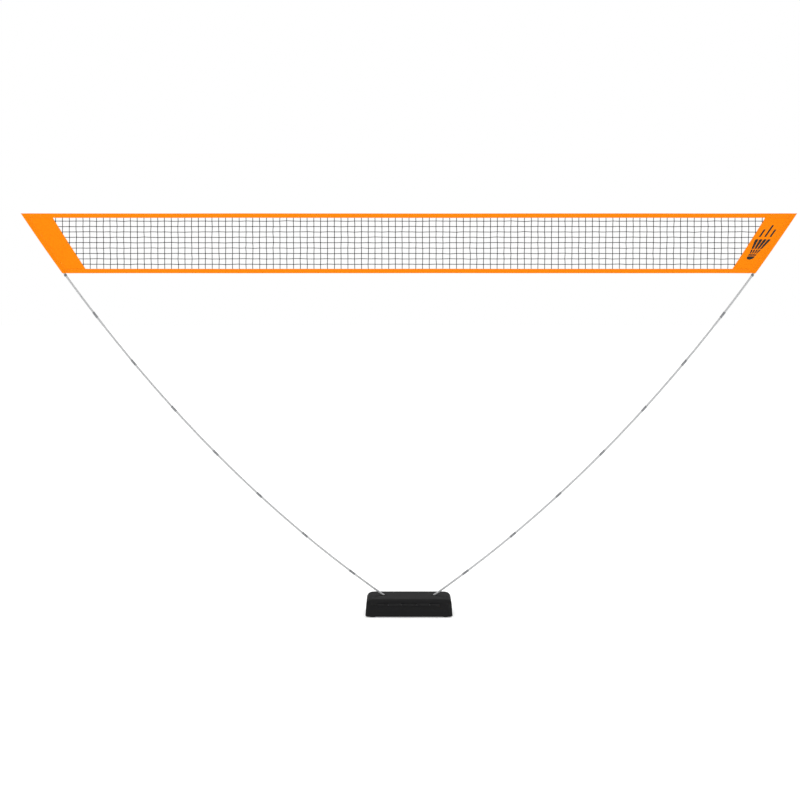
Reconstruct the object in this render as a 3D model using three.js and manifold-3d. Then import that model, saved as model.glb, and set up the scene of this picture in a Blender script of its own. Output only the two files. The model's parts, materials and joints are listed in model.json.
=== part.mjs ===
// A portable badminton net: a weighted storage case that stands on the ground, two long
// sprung poles that lean out of its lid, and a net with taped edges stretched between them.
//
// Millimetres, +Z up. The origin is on the ground at the middle of the case, +X runs along
// the net and -Y is the side that the case's hinge is on.
import * as THREE from 'three';
import { mergeVertices } from 'three/addons/utils/BufferGeometryUtils.js';
import Module from 'manifold-3d';

const wasm = await Module();
wasm.setup();

// ---- Driving dimensions ------------------------------------------------------------------

const GAP = 0.3; // between pieces that touch
const TURNING_GAP = 0.25; // round a pin in its bore

// The case, a flat box whose walls lean in towards the top.
const CASE_HALF_LENGTH = 168.5; // at the ground, along X
const CASE_HALF_DEPTH = 98; // at the ground, along Y
const CASE_TOP = 72;
const CASE_LEAN_X = 5; // how far each end leans in over the height
const CASE_LEAN_Y = 4;
const CASE_FOOT_GAP = 3; // the rubber feet hold the case this far up
const CASE_WALL = 3;
const END_ROUND = 20; // the top edge at the two ends
const LONG_ROUND = 9; // the top edge along the front and back
const CORNER_ROUND = 16; // the upright corners
const UNDER_ROUND = 5; // the bottom edge
const PARTING = 50; // height of the joint between base and lid
const LIP_HEIGHT = 3; // the base's dust lip inside the lid
const LIP_WALL = 1.6;
const LIP_ROOT = 4; // how far below the joint the lip's wall starts

// The hinge along the front edge.
const HINGE_OUT = 1.6; // its axis stands this far outside the wall
const KNUCKLE_RADIUS = 3.6;
const KNUCKLE_WIDTHS = [40, 50, 60, 50, 40]; // base, lid, base, lid, base
const HINGE_PIN_RADIUS = 1.7;
const HINGE_BORE_RADIUS = HINGE_PIN_RADIUS + TURNING_GAP;
const KNUCKLE_ROOM = 0.4; // round a knuckle, in the other shell's wall
const KNUCKLE_NOTCH = 2.6; // how deep that room is cut into the wall
const WEB_HEIGHT = 6; // of the web that ties a knuckle to its wall

// The poles: fibreglass tubes in nine pieces, joined by ferrules.
const POLE_RADIUS = 3.95;
const POLE_BORE = 1.9;
const PIECE_LENGTH = 235;
const PIECES = 9;
const POLE_LENGTH = PIECE_LENGTH * PIECES;
const SOCKET_DEPTH = 84; // the straight length inside the case
const POLE_EXIT_X = 98; // where the pole's middle line leaves the lid
const LEAN_AT_EXIT = THREE.MathUtils.degToRad(35.1); // above the ground
const LEAN_GAIN = THREE.MathUtils.degToRad(21.6); // how much steeper it is at the tip
const BEND_EARLY = 1.25; // the curve is tightest near the case, where the load is largest
const FERRULE_RADIUS = 4.75;
const FERRULE_BORE = 4.2;
const FERRULE_LENGTH = 26;
const JOINT_GAP = 0.6; // between two pole pieces inside a ferrule
const CORD_RADIUS = 1.1;
const CORD_SHORT = 5; // how far the elastic cord stops short of each end
const LAST_PIECE_SHORT = 4; // the last piece ends inside its cap
const TIP = { cover: 22, floor: 3.5, beyond: 2.5 }; // the cap, from the pole's stated end

// The net.
const NET_TOP = 1550;
const NET_BOTTOM = 1320;
const TAPE_HEIGHT = 17;
const TAPE_THICKNESS = 2.2;
const MESH_THICKNESS = 1;
const BAND_HEAD = 88; // the side bands' width at the top, square to the pole, from its line
const BAND_FOOT = 76; // and at the bottom
const SLEEVE_RADIUS = 6.4;
const SLEEVE_BORE = 5.1;
const NET_STOP = { length: 9, below: 4, radius: 5.7 }; // the collar on the pole under the sleeve

// The carrying handle and the latches on the back.
const POCKET = { halfWidth: 66, low: 9.5, high: 46, depth: 14 };
const HANDLE = { halfWidth: 58, drop: 26, bar: 3.8, pivotHeight: 39, out: 6, pinRadius: 2 };
const LUG = { halfHeight: 5, out: 4.2, side: 1 }; // on the pocket's back, for the handle's pins
const LATCH_X = 118;
const LATCH = { halfWidth: 15, pivotHeight: 57.5, barrel: 2.7, pinRadius: 1.3, low: 36, plate: 2.2 };
const EAR = { width: 3, below: 3.6, above: 3.2, side: 0.5 }; // on the lid, for the latch's pins

// Where the poles leave the lid, and what holds them under it.
const GROMMET_NECK = 8.2; // half the neck's width across the pole
const GROMMET_FLANGE = 11;
const GROMMET_HEIGHT = 1.4; // how far the flange stands on the lid
const SOCKET_RADIUS = 8;
const SOCKET_PLATE = { inward: 14, half: 30, halfWidth: 16, thickness: 3 };

// What the case stands on, and what keeps it down.
const FOOT = { x: 140, y: 77, radius: 11, height: 4 };
const WEIGHT = { halfLength: 120, front: -87, back: 70, thickness: 4, corner: 12 };

const POLE_SIDES = 8;
const SMOOTH = 24; // sides of a round piece that shows its outline

const SIDES = [
  { name: 'left', sign: -1 },
  { name: 'right', sign: 1 },
];

// ---- Materials ---------------------------------------------------------------------------

const material = (color, roughness, metalness = 0) =>
  new THREE.MeshStandardMaterial({ color, roughness, metalness });
const casePlastic = material('#232425', 0.55);
const darkPlastic = material('#1b1c1d', 0.45);
const fibreglass = material('#bfc1c2', 0.35);
const ferruleMetal = material('#5a5d60', 0.35, 0.9);
const steel = material('#9a9da0', 0.3, 1);
const rubber = material('#161616', 0.85);
const orangeCloth = material('#fe8c05', 0.8);
const netCord = material('#1a1a1a', 0.85);
const elastic = material('#e8e8e6', 0.8);

// ---- Solids ------------------------------------------------------------------------------

// A three.js geometry as a manifold-3d solid, optionally placed by a matrix.
function solid(geometry, matrix = new THREE.Matrix4()) {
  const bare = (geometry.index ? geometry.toNonIndexed() : geometry.clone()).applyMatrix4(matrix);
  bare.deleteAttribute('normal');
  bare.deleteAttribute('uv');
  const merged = mergeVertices(bare, 1e-4);
  return new wasm.Manifold(
    new wasm.Mesh({
      numProp: 3,
      vertProperties: merged.attributes.position.array,
      triVerts: new Uint32Array(merged.index.array),
    }),
  );
}

// A manifold-3d solid as a three.js geometry.
function geometryOf(made) {
  const mesh = made.getMesh();
  const points = new Float32Array(mesh.numVert * 3);
  for (let i = 0; i < mesh.numVert; i++) {
    points.set(mesh.vertProperties.subarray(i * mesh.numProp, i * mesh.numProp + 3), i * 3);
  }
  return new THREE.BufferGeometry()
    .setAttribute('position', new THREE.BufferAttribute(points, 3))
    .setIndex(new THREE.BufferAttribute(mesh.triVerts, 1));
}

const at = (x, y, z) => new THREE.Matrix4().makeTranslation(x, y, z);
const turned = (axis, angle) => new THREE.Matrix4().makeRotationAxis(axis, angle);
const AXIS_X = new THREE.Vector3(1, 0, 0);
const AXIS_Z = new THREE.Vector3(0, 0, 1);

// A box between two corners.
function block(low, high) {
  const size = high.map((v, i) => v - low[i]);
  const middle = high.map((v, i) => (v + low[i]) / 2);
  return solid(new THREE.BoxGeometry(...size), at(...middle));
}

// A round bar along X.
function barAlongX(radius, fromX, toX, y, z, sides = SMOOTH) {
  const place = at((fromX + toX) / 2, y, z).multiply(turned(AXIS_Z, Math.PI / 2));
  return solid(new THREE.CylinderGeometry(radius, radius, toX - fromX, sides), place);
}

// A polygon with a rounding at each corner: points are [x, y, radius].
function roundedOutline(points) {
  const path = new THREE.Path();
  const count = points.length;
  points.forEach(([x, y, radius], i) => {
    const corner = new THREE.Vector2(x, y);
    const before = new THREE.Vector2(...points[(i + count - 1) % count]);
    const after = new THREE.Vector2(...points[(i + 1) % count]);
    const inward = before.sub(corner).normalize();
    const onward = after.sub(corner).normalize();
    const half = Math.acos(inward.dot(onward)) / 2;
    const back = radius / Math.tan(half);
    const start = corner.clone().addScaledVector(inward, back);
    const end = corner.clone().addScaledVector(onward, back);
    if (i === 0) path.moveTo(start.x, start.y);
    else path.lineTo(start.x, start.y);
    path.quadraticCurveTo(x, y, end.x, end.y);
  });
  path.closePath();
  return new THREE.Shape(path.getPoints(4));
}

const extruded = (shape, depth) =>
  new THREE.ExtrudeGeometry(shape, { depth, bevelEnabled: false, curveSegments: SMOOTH });

// The case's outer shape, moved in by inset: what its three outlines have in common.
function caseBody(inset) {
  const foot = CASE_FOOT_GAP + inset;
  const top = CASE_TOP - inset;
  const less = (radius) => Math.max(radius - inset, 1);
  const side = (half, lean, round) => [
    [-half + inset, foot, less(UNDER_ROUND)],
    [half - inset, foot, less(UNDER_ROUND)],
    [half - lean - inset, top, less(round)],
    [-half + lean + inset, top, less(round)],
  ];
  const reach = 2 * CASE_HALF_LENGTH;
  const front = extruded(roundedOutline(side(CASE_HALF_LENGTH, CASE_LEAN_X, END_ROUND)), reach);
  const end = extruded(roundedOutline(side(CASE_HALF_DEPTH, CASE_LEAN_Y, LONG_ROUND)), 2 * reach);
  const halfX = CASE_HALF_LENGTH - inset;
  const halfY = CASE_HALF_DEPTH - inset;
  const plan = extruded(
    roundedOutline([
      [-halfX, -halfY, less(CORNER_ROUND)],
      [halfX, -halfY, less(CORNER_ROUND)],
      [halfX, halfY, less(CORNER_ROUND)],
      [-halfX, halfY, less(CORNER_ROUND)],
    ]),
    top - foot,
  );
  leanIn(plan, top - foot);
  const alongY = at(0, reach / 2, 0).multiply(turned(AXIS_X, Math.PI / 2));
  const alongX = new THREE.Matrix4().makeBasis(
    new THREE.Vector3(0, 1, 0),
    AXIS_Z,
    AXIS_X,
  );
  return solid(front, alongY)
    .intersect(solid(end, at(-reach, 0, 0).multiply(alongX)))
    .intersect(solid(plan, at(0, 0, foot)));
}

// Draws the upper end of an extruded plan in, so that its rounded corners follow the walls.
function leanIn(geometry, height) {
  const position = geometry.attributes.position;
  for (let i = 0; i < position.count; i++) {
    const share = position.getZ(i) / height;
    position.setX(i, position.getX(i) * (1 - (share * CASE_LEAN_X) / CASE_HALF_LENGTH));
    position.setY(i, position.getY(i) * (1 - (share * CASE_LEAN_Y) / CASE_HALF_DEPTH));
  }
}

// How far the case's front or back wall stands from the middle at a height.
function wallAt(height) {
  const share = (height - CASE_FOOT_GAP) / (CASE_TOP - CASE_FOOT_GAP);
  return CASE_HALF_DEPTH - CASE_LEAN_Y * share;
}

const FAR = 400; // past the case on every side
const PAST_NET = 2000;
const above = (height) => block([-FAR, -FAR, height], [FAR, FAR, FAR]);
const below = (height) => block([-FAR, -FAR, -FAR], [FAR, FAR, height]);

// ---- The poles' line ---------------------------------------------------------------------

const CURVED_LENGTH = POLE_LENGTH - SOCKET_DEPTH;
const LINE_STEPS = 96;

// The pole's angle above the ground at a distance from its exit.
function leanAt(distance) {
  const u = THREE.MathUtils.clamp(distance / CURVED_LENGTH, 0, 1);
  return LEAN_AT_EXIT + LEAN_GAIN * (BEND_EARLY * u - (BEND_EARLY - 1) * u * u);
}

// The middle of the pole, a distance along it from its lower end, in the plane of the net.
// across moves the point square to the pole, up and towards the net.
function polePoint(along, across = 0) {
  const distance = along - SOCKET_DEPTH;
  const point = new THREE.Vector2(POLE_EXIT_X, CASE_TOP);
  const steps = distance > 0 ? LINE_STEPS : 1;
  const step = distance / steps;
  for (let i = 0; i < steps; i++) {
    const lean = leanAt((i + 0.5) * step);
    point.x += step * Math.cos(lean);
    point.y += step * Math.sin(lean);
  }
  const lean = leanAt(distance);
  point.x -= across * Math.sin(lean);
  point.y += across * Math.cos(lean);
  return point;
}

// The distance along the pole at which that point has a height.
function alongAtHeight(height, across = 0) {
  let low = 0;
  let high = POLE_LENGTH + BAND_HEAD;
  for (let i = 0; i < 40; i++) {
    const middle = (low + high) / 2;
    if (polePoint(middle, across).y < height) low = middle;
    else high = middle;
  }
  return (low + high) / 2;
}

// How wide the side bands are at a height: they taper a little towards the bottom.
function bandWidthAt(height) {
  const share = (height - NET_BOTTOM) / (NET_TOP - NET_BOTTOM);
  return THREE.MathUtils.lerp(BAND_FOOT, BAND_HEAD, share);
}

// Where a side band's inner edge is at a height.
function innerEdgeX(height, clearance) {
  const across = bandWidthAt(height) + clearance;
  return polePoint(alongAtHeight(height, across), across).x;
}

// A stretch of a pole's line as a curve.
class PoleLine extends THREE.Curve {
  constructor(sign, from, to) {
    super();
    Object.assign(this, { sign, from, to });
  }

  getPoint(t, target = new THREE.Vector3()) {
    const point = polePoint(THREE.MathUtils.lerp(this.from, this.to, t));
    return target.set(this.sign * point.x, 0, point.y);
  }
}

// A section swept along a stretch of the pole.
function swept(shape, sign, from, to, steps) {
  const extrudePath = new PoleLine(sign, from, to);
  const geometry = new THREE.ExtrudeGeometry(shape, { steps, extrudePath, bevelEnabled: false });
  return solid(geometry);
}

function disc(radius, sides = POLE_SIDES) {
  const corners = Array.from({ length: sides }, (_, i) => {
    const angle = ((i + 0.5) / sides) * 2 * Math.PI;
    return new THREE.Vector2(radius * Math.cos(angle), radius * Math.sin(angle));
  });
  return new THREE.Shape(corners);
}

function ring(outer, inner, sides = POLE_SIDES) {
  const shape = disc(outer, sides);
  shape.holes.push(disc(inner, sides));
  return shape;
}

// A straight bar through a pole's socket: the pole's lower stretch, made longer at both ends.
function socketBar(radius, sign, from, to) {
  const lean = new THREE.Vector3(sign * Math.cos(LEAN_AT_EXIT), 0, Math.sin(LEAN_AT_EXIT));
  const start = new THREE.Vector3(sign * POLE_EXIT_X, 0, CASE_TOP);
  const turn = new THREE.Quaternion().setFromUnitVectors(new THREE.Vector3(0, 1, 0), lean);
  const middle = start.addScaledVector(lean, (from + to) / 2);
  const place = new THREE.Matrix4().compose(middle, turn, new THREE.Vector3(1, 1, 1));
  return solid(new THREE.CylinderGeometry(radius, radius, to - from, 16), place);
}

// ---- The part ----------------------------------------------------------------------------

const net = new THREE.Group();

function add(name, made, look) {
  const mesh = new THREE.Mesh(geometryOf(made), look);
  mesh.name = name;
  net.add(mesh);
}

// -- The case's hinge

const HINGE_Y = -(wallAt(PARTING) + HINGE_OUT);
const HINGE_LENGTH = KNUCKLE_WIDTHS.reduce((a, b) => a + b);

// The knuckles of one shell, or the room that they need in the other one.
function knuckles(first, radius, extra) {
  let made = null;
  let x = -HINGE_LENGTH / 2;
  KNUCKLE_WIDTHS.forEach((width, i) => {
    if (i % 2 === first) {
      const bar = barAlongX(radius, x - extra, x + width + extra, HINGE_Y, PARTING);
      made = made ? made.add(bar) : bar;
    }
    x += width;
  });
  return made;
}

// Room for the other shell's knuckles, in the front wall only.
function knuckleRoom(first) {
  const wall = block([-FAR, -FAR, 0], [FAR, -wallAt(PARTING) + KNUCKLE_NOTCH, CASE_TOP]);
  return knuckles(first, KNUCKLE_RADIUS + KNUCKLE_ROOM, GAP).intersect(wall);
}

const hingeBore = () => barAlongX(HINGE_BORE_RADIUS, -FAR, FAR, HINGE_Y, PARTING, 16);

// A web that ties each knuckle to its shell's wall, on the shell's side of the joint.
function knuckleWebs(first, upwards) {
  let made = null;
  let x = -HINGE_LENGTH / 2;
  const [low, high] = upwards
    ? [PARTING + GAP, PARTING + WEB_HEIGHT]
    : [PARTING - WEB_HEIGHT, PARTING - GAP];
  KNUCKLE_WIDTHS.forEach((width, i) => {
    if (i % 2 === first) {
      const web = block(
        [x + GAP, HINGE_Y - 1, low],
        [x + width - GAP, -wallAt(PARTING) + CASE_WALL / 2, high],
      );
      made = made ? made.add(web) : web;
    }
    x += width;
  });
  return made;
}

// -- The base: an open tray with a dust lip, a handle pocket and the outer knuckles

function baseShell() {
  const outer = caseBody(0).intersect(below(PARTING));
  const lip = caseBody(CASE_WALL + GAP).intersect(below(PARTING + LIP_HEIGHT));
  const hollow = caseBody(CASE_WALL)
    .intersect(below(PARTING - LIP_ROOT))
    .add(caseBody(CASE_WALL + GAP + LIP_WALL).intersect(below(PARTING + LIP_HEIGHT + 1)));
  const backWall = wallAt(POCKET.low);
  const pocketBack = backWall - POCKET.depth;
  const pocketHousing = block(
    [-POCKET.halfWidth - CASE_WALL, pocketBack - CASE_WALL, CASE_FOOT_GAP + 1],
    [POCKET.halfWidth + CASE_WALL, backWall - 2, POCKET.high + CASE_WALL],
  );
  const pocket = block(
    [-POCKET.halfWidth, pocketBack, POCKET.low],
    [POCKET.halfWidth, backWall + 10, POCKET.high],
  );
  const pins = handlePins(HANDLE.pinRadius + TURNING_GAP, 6);
  // Two lugs stand out of the pocket's back and carry the handle's pins.
  let lugs = null;
  for (const { sign } of SIDES) {
    const ends = [sign * (HANDLE.halfWidth + LUG.side), sign * (POCKET.halfWidth + LUG.side)];
    const lug = block(
      [Math.min(...ends), pocketBack - 1, HANDLE.pivotHeight - LUG.halfHeight],
      [Math.max(...ends), HANDLE_Y + LUG.out, HANDLE.pivotHeight + LUG.halfHeight],
    );
    lugs = lugs ? lugs.add(lug) : lug;
  }
  const footSeats = feet(FOOT.radius + GAP, FOOT.height + GAP).reduce((a, b) => a.add(b));
  return outer
    .add(lip)
    .subtract(hollow)
    .add(pocketHousing.intersect(caseBody(1)))
    .subtract(pocket)
    .add(lugs)
    .subtract(pins)
    .add(knuckles(0, KNUCKLE_RADIUS, -GAP))
    .add(knuckleWebs(0, false))
    .subtract(knuckleRoom(1))
    .subtract(hingeBore())
    .subtract(footSeats);
}

// -- The lid: an upturned tray with two oblique holes for the poles

function lidShell() {
  const outer = caseBody(0).intersect(above(PARTING + GAP));
  const hollow = caseBody(CASE_WALL);
  let made = outer
    .subtract(hollow)
    .add(knuckles(1, KNUCKLE_RADIUS, -GAP))
    .add(knuckleWebs(1, true))
    .subtract(knuckleRoom(0))
    .subtract(hingeBore());
  for (const { sign } of SIDES) {
    made = made.subtract(ovalPlug(sign, GROMMET_NECK + GAP, CASE_TOP - 10, CASE_TOP + 10));
    made = made.add(latchEars(sign * LATCH_X));
    made = made.subtract(latchPins(sign * LATCH_X, LATCH.pinRadius + TURNING_GAP, 6));
  }
  return made;
}

// -- The grommets round the poles

// A slanting pole's hole is longer than it is wide, by this much at each end.
const OVAL_LONGER = POLE_RADIUS * (1 / Math.sin(LEAN_AT_EXIT) - 1);

// An oval plug in the lid, round the place where a pole leaves it.
function ovalPlug(sign, halfWidth, low, high) {
  const shape = new THREE.Shape();
  shape.absellipse(0, 0, halfWidth + OVAL_LONGER, halfWidth, 0, 2 * Math.PI);
  return solid(
    new THREE.ExtrudeGeometry(shape, { depth: high - low, bevelEnabled: false, curveSegments: 8 }),
    at(sign * POLE_EXIT_X, 0, low),
  );
}

function grommet(sign) {
  return ovalPlug(sign, GROMMET_NECK, CASE_TOP - CASE_WALL + GAP, CASE_TOP + 0.5)
    .add(ovalPlug(sign, GROMMET_FLANGE, CASE_TOP + GAP, CASE_TOP + GAP + GROMMET_HEIGHT))
    .subtract(socketBar(POLE_RADIUS + GAP, sign, -40, 40));
}

// -- The sockets under the lid

function socket(sign) {
  const underLid = CASE_TOP - CASE_WALL - GAP;
  const plateX = sign * (POLE_EXIT_X - SOCKET_PLATE.inward);
  const plate = block(
    [plateX - SOCKET_PLATE.half, -SOCKET_PLATE.halfWidth, underLid - SOCKET_PLATE.thickness],
    [plateX + SOCKET_PLATE.half, SOCKET_PLATE.halfWidth, underLid],
  );
  return socketBar(SOCKET_RADIUS, sign, -SOCKET_DEPTH - 6, 20)
    .intersect(below(underLid))
    .add(plate)
    .subtract(socketBar(POLE_RADIUS + GAP, sign, -SOCKET_DEPTH - 1, 40));
}

// -- The latches on the lid's back

const LATCH_Y = wallAt(LATCH.pivotHeight) + LATCH.barrel + 0.5;

function latchPins(x, radius, reach) {
  return barAlongX(
    radius,
    x - LATCH.halfWidth - reach,
    x + LATCH.halfWidth + reach,
    LATCH_Y,
    LATCH.pivotHeight,
    12,
  );
}

// Two ears on the lid hold each latch by its pins.
function latchEars(x) {
  let made = null;
  for (const { sign } of SIDES) {
    const inner = x + sign * (LATCH.halfWidth + EAR.side);
    const outer = inner + sign * EAR.width;
    const root = wallAt(LATCH.pivotHeight) - CASE_WALL + EAR.side;
    const ear = block(
      [Math.min(inner, outer), root, LATCH.pivotHeight - EAR.below],
      [Math.max(inner, outer), LATCH_Y + LATCH.barrel, LATCH.pivotHeight + EAR.above],
    );
    made = made ? made.add(ear) : ear;
  }
  return made;
}

function latch(x) {
  const barrel = barAlongX(
    LATCH.barrel,
    x - LATCH.halfWidth,
    x + LATCH.halfWidth,
    LATCH_Y,
    LATCH.pivotHeight,
    16,
  );
  const face = LATCH_Y + LATCH.barrel;
  const plate = block(
    [x - LATCH.halfWidth, face - LATCH.plate, LATCH.low],
    [x + LATCH.halfWidth, face, LATCH.pivotHeight],
  );
  // The lower edge is thicker, for a fingertip.
  const pull = block(
    [x - LATCH.halfWidth, face - LATCH.plate - 0.9, LATCH.low],
    [x + LATCH.halfWidth, face, LATCH.low + 4],
  );
  return barrel.add(plate).add(pull).add(latchPins(x, LATCH.pinRadius, 3));
}

// -- The carrying handle, a bail that hangs in the base's pocket

const HANDLE_Y = wallAt(HANDLE.pivotHeight) - HANDLE.out;

function handlePins(radius, reach) {
  const end = HANDLE.halfWidth + reach;
  return barAlongX(radius, -end, end, HANDLE_Y, HANDLE.pivotHeight, 16);
}

function handle() {
  const { halfWidth, drop, bar, pivotHeight } = HANDLE;
  const outline = roundedOutline([
    [-halfWidth, pivotHeight + bar, 3],
    [-halfWidth, pivotHeight - drop, 10],
    [halfWidth, pivotHeight - drop, 10],
    [halfWidth, pivotHeight + bar, 3],
  ]);
  const gap = roundedOutline([
    [-halfWidth + 2 * bar, pivotHeight + 4 * bar, 1],
    [-halfWidth + 2 * bar, pivotHeight - drop + 2 * bar, 5],
    [halfWidth - 2 * bar, pivotHeight - drop + 2 * bar, 5],
    [halfWidth - 2 * bar, pivotHeight + 4 * bar, 1],
  ]);
  const place = (from) => at(0, from, 0).multiply(turned(AXIS_X, Math.PI / 2));
  const bail = solid(extruded(outline, 2 * bar), place(HANDLE_Y + bar));
  const opening = solid(extruded(gap, 6 * bar), place(HANDLE_Y + 3 * bar));
  const pins = handlePins(HANDLE.pinRadius, 4.5).subtract(handlePins(2 * HANDLE.pinRadius, -2 * bar));
  return bail.subtract(opening).add(pins);
}

// -- Feet and weight

function feet(radius, height) {
  const made = [];
  for (const ySign of [-1, 1]) {
    for (const { sign } of SIDES) {
      const cylinder = new THREE.CylinderGeometry(radius, radius, height, 20);
      const place = at(sign * FOOT.x, ySign * FOOT.y, height / 2);
      made.push(solid(cylinder, place.multiply(turned(AXIS_X, Math.PI / 2))));
    }
  }
  return made;
}

function weightPlate() {
  const { halfLength, front, back, thickness, corner } = WEIGHT;
  const outline = roundedOutline([
    [-halfLength, front, corner],
    [halfLength, front, corner],
    [halfLength, back, corner],
    [-halfLength, back, corner],
  ]);
  return solid(extruded(outline, thickness), at(0, 0, CASE_FOOT_GAP + CASE_WALL + GAP));
}

// -- The net

const SLEEVE_END = POLE_LENGTH + TIP.beyond + 0.5; // how far up its inside reaches
const SLEEVE_OVERRUN = 30; // drawn past the net's edges, and cut off there

// A flat cloth shape in the plane of the net, between two heights and the two side bands.
function flatCloth(low, high, clearance, thickness) {
  const steps = 6;
  const shape = new THREE.Shape();
  shape.moveTo(-innerEdgeX(low, clearance), low);
  for (let i = 0; i <= steps; i++) {
    const height = THREE.MathUtils.lerp(low, high, i / steps);
    shape.lineTo(innerEdgeX(height, clearance), height);
  }
  for (let i = steps; i > 0; i--) {
    const height = THREE.MathUtils.lerp(low, high, i / steps);
    shape.lineTo(-innerEdgeX(height, clearance), height);
  }
  shape.closePath();
  const place = at(0, thickness / 2, 0).multiply(turned(AXIS_X, Math.PI / 2));
  return solid(extruded(shape, thickness), place);
}

// A cloth band with a sleeve along its outer edge that the pole runs in. It is drawn wider
// than it is and then cut to its tapering inner edge.
function sideBand(sign) {
  const inward = -sign;
  const half = TAPE_THICKNESS / 2;
  const open = Math.asin(half / SLEEVE_RADIUS);
  const straight = (inward * Math.PI) / 2;
  const section = new THREE.Shape();
  const widest = BAND_HEAD + 4;
  section.moveTo(half, inward * widest);
  section.lineTo(-half, inward * widest);
  section.absarc(0, 0, SLEEVE_RADIUS, straight + inward * open, straight - inward * open, sign > 0);
  section.closePath();
  const points = section.extractPoints(6).shape;
  const from = alongAtHeight(NET_BOTTOM, widest) - widest;
  const cloth = swept(new THREE.Shape(points), sign, from, POLE_LENGTH + SLEEVE_OVERRUN, 12);
  const room = swept(disc(SLEEVE_BORE, 12), sign, from - SLEEVE_OVERRUN, SLEEVE_END, 8);
  const between = block([-PAST_NET, -FAR, NET_BOTTOM], [PAST_NET, FAR, NET_TOP]);
  const opening = flatCloth(NET_BOTTOM - 1, NET_TOP + 1, 0, 4 * TAPE_THICKNESS);
  return cloth.intersect(between).subtract(room).subtract(opening);
}

// -- Putting it together

add('base_shell', baseShell(), casePlastic);
add('lid_shell', lidShell(), casePlastic);
add(
  'hinge_pin',
  barAlongX(HINGE_PIN_RADIUS, -HINGE_LENGTH / 2 + 1, HINGE_LENGTH / 2 - 1, HINGE_Y, PARTING, 16),
  steel,
);
add('carry_handle', handle(), darkPlastic);
add('weight_plate', weightPlate(), steel);
['front_left', 'front_right', 'rear_left', 'rear_right'].forEach((place, i) => {
  add('foot_' + place, feet(FOOT.radius, FOOT.height)[i], rubber);
});

for (const { name, sign } of SIDES) {
  add('latch_' + name, latch(sign * LATCH_X), darkPlastic);
  add('pole_socket_' + name, socket(sign), darkPlastic);
  add('grommet_' + name, grommet(sign), rubber);

  for (let i = 0; i < PIECES; i++) {
    const from = i * PIECE_LENGTH + (i ? JOINT_GAP / 2 : 0);
    const to = (i + 1) * PIECE_LENGTH - (i < PIECES - 1 ? JOINT_GAP / 2 : LAST_PIECE_SHORT);
    const piece = swept(ring(POLE_RADIUS, POLE_BORE), sign, from, to, i ? 4 : 6);
    add(`pole_${name}_${i + 1}`, piece, fibreglass);
    if (i === PIECES - 1) continue;
    const joint = (i + 1) * PIECE_LENGTH;
    const sleeve = swept(
      ring(FERRULE_RADIUS, FERRULE_BORE),
      sign,
      joint - FERRULE_LENGTH / 2,
      joint + FERRULE_LENGTH / 2,
      2,
    );
    add(`ferrule_${name}_${i + 1}`, sleeve, ferruleMetal);
  }

  const cord = swept(disc(CORD_RADIUS, 6), sign, CORD_SHORT, POLE_LENGTH - CORD_SHORT, 40);
  add('shock_cord_' + name, cord, elastic);

  const capFrom = POLE_LENGTH - TIP.cover;
  const cap = swept(disc(FERRULE_RADIUS), sign, capFrom, POLE_LENGTH + TIP.beyond, 2)
    .subtract(swept(disc(FERRULE_BORE), sign, capFrom - 8, POLE_LENGTH - TIP.floor, 2));
  add('pole_tip_' + name, cap, rubber);

  const stopTop = alongAtHeight(NET_BOTTOM) - NET_STOP.below;
  const stopFrom = stopTop - NET_STOP.length;
  const stop = swept(ring(NET_STOP.radius, FERRULE_BORE, 12), sign, stopFrom, stopTop, 2);
  add('net_stop_' + name, stop, rubber);

  add('side_band_' + name, sideBand(sign), orangeCloth);
}

const topTape = flatCloth(NET_TOP - TAPE_HEIGHT, NET_TOP, GAP, TAPE_THICKNESS);
const bottomTape = flatCloth(NET_BOTTOM, NET_BOTTOM + TAPE_HEIGHT, GAP, TAPE_THICKNESS);
const meshLow = NET_BOTTOM + TAPE_HEIGHT + GAP;
const meshHigh = NET_TOP - TAPE_HEIGHT - GAP;
add('top_tape', topTape, orangeCloth);
add('bottom_tape', bottomTape, orangeCloth);
add('net_mesh', flatCloth(meshLow, meshHigh, GAP, MESH_THICKNESS), netCord);

export default net;
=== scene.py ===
"""A portable badminton net, in Blender: its looks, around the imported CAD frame.

Shapes are worked out in millimetres, in the CAD's own frame, and written in metres.
"""

import json
import math
import random

import bmesh
import bpy
import numpy as np
from mathutils import Matrix, Vector


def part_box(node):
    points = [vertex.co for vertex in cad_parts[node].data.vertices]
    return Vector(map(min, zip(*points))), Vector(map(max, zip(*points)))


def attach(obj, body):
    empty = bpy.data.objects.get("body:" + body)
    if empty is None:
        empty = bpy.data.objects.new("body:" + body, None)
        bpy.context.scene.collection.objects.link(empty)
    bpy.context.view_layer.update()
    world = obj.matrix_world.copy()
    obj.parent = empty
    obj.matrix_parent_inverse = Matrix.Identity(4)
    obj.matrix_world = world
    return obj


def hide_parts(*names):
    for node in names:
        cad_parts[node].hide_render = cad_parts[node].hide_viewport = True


MM = 0.001
SEED = 11

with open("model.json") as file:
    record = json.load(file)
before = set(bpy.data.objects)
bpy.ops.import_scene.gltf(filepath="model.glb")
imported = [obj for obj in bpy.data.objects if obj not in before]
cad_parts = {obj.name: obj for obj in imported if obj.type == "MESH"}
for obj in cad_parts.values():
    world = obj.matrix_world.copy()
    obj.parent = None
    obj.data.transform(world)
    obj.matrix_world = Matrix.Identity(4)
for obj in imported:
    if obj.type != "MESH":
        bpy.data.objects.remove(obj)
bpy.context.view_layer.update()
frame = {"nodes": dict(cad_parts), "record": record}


def box_mm(node):
    """A CAD node's lowest and highest corner, in millimetres."""
    low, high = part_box(node)
    return np.array(low) / MM, np.array(high) / MM


def joint_mm(name):
    """A joint's place, in millimetres."""
    joint = next(j for j in frame["record"]["behaviour"]["joints"] if j["name"] == name)
    return np.array(joint["pos_m"]) / MM


# ---- Driving dimensions, from the frame -------------------------------------------------

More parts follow.
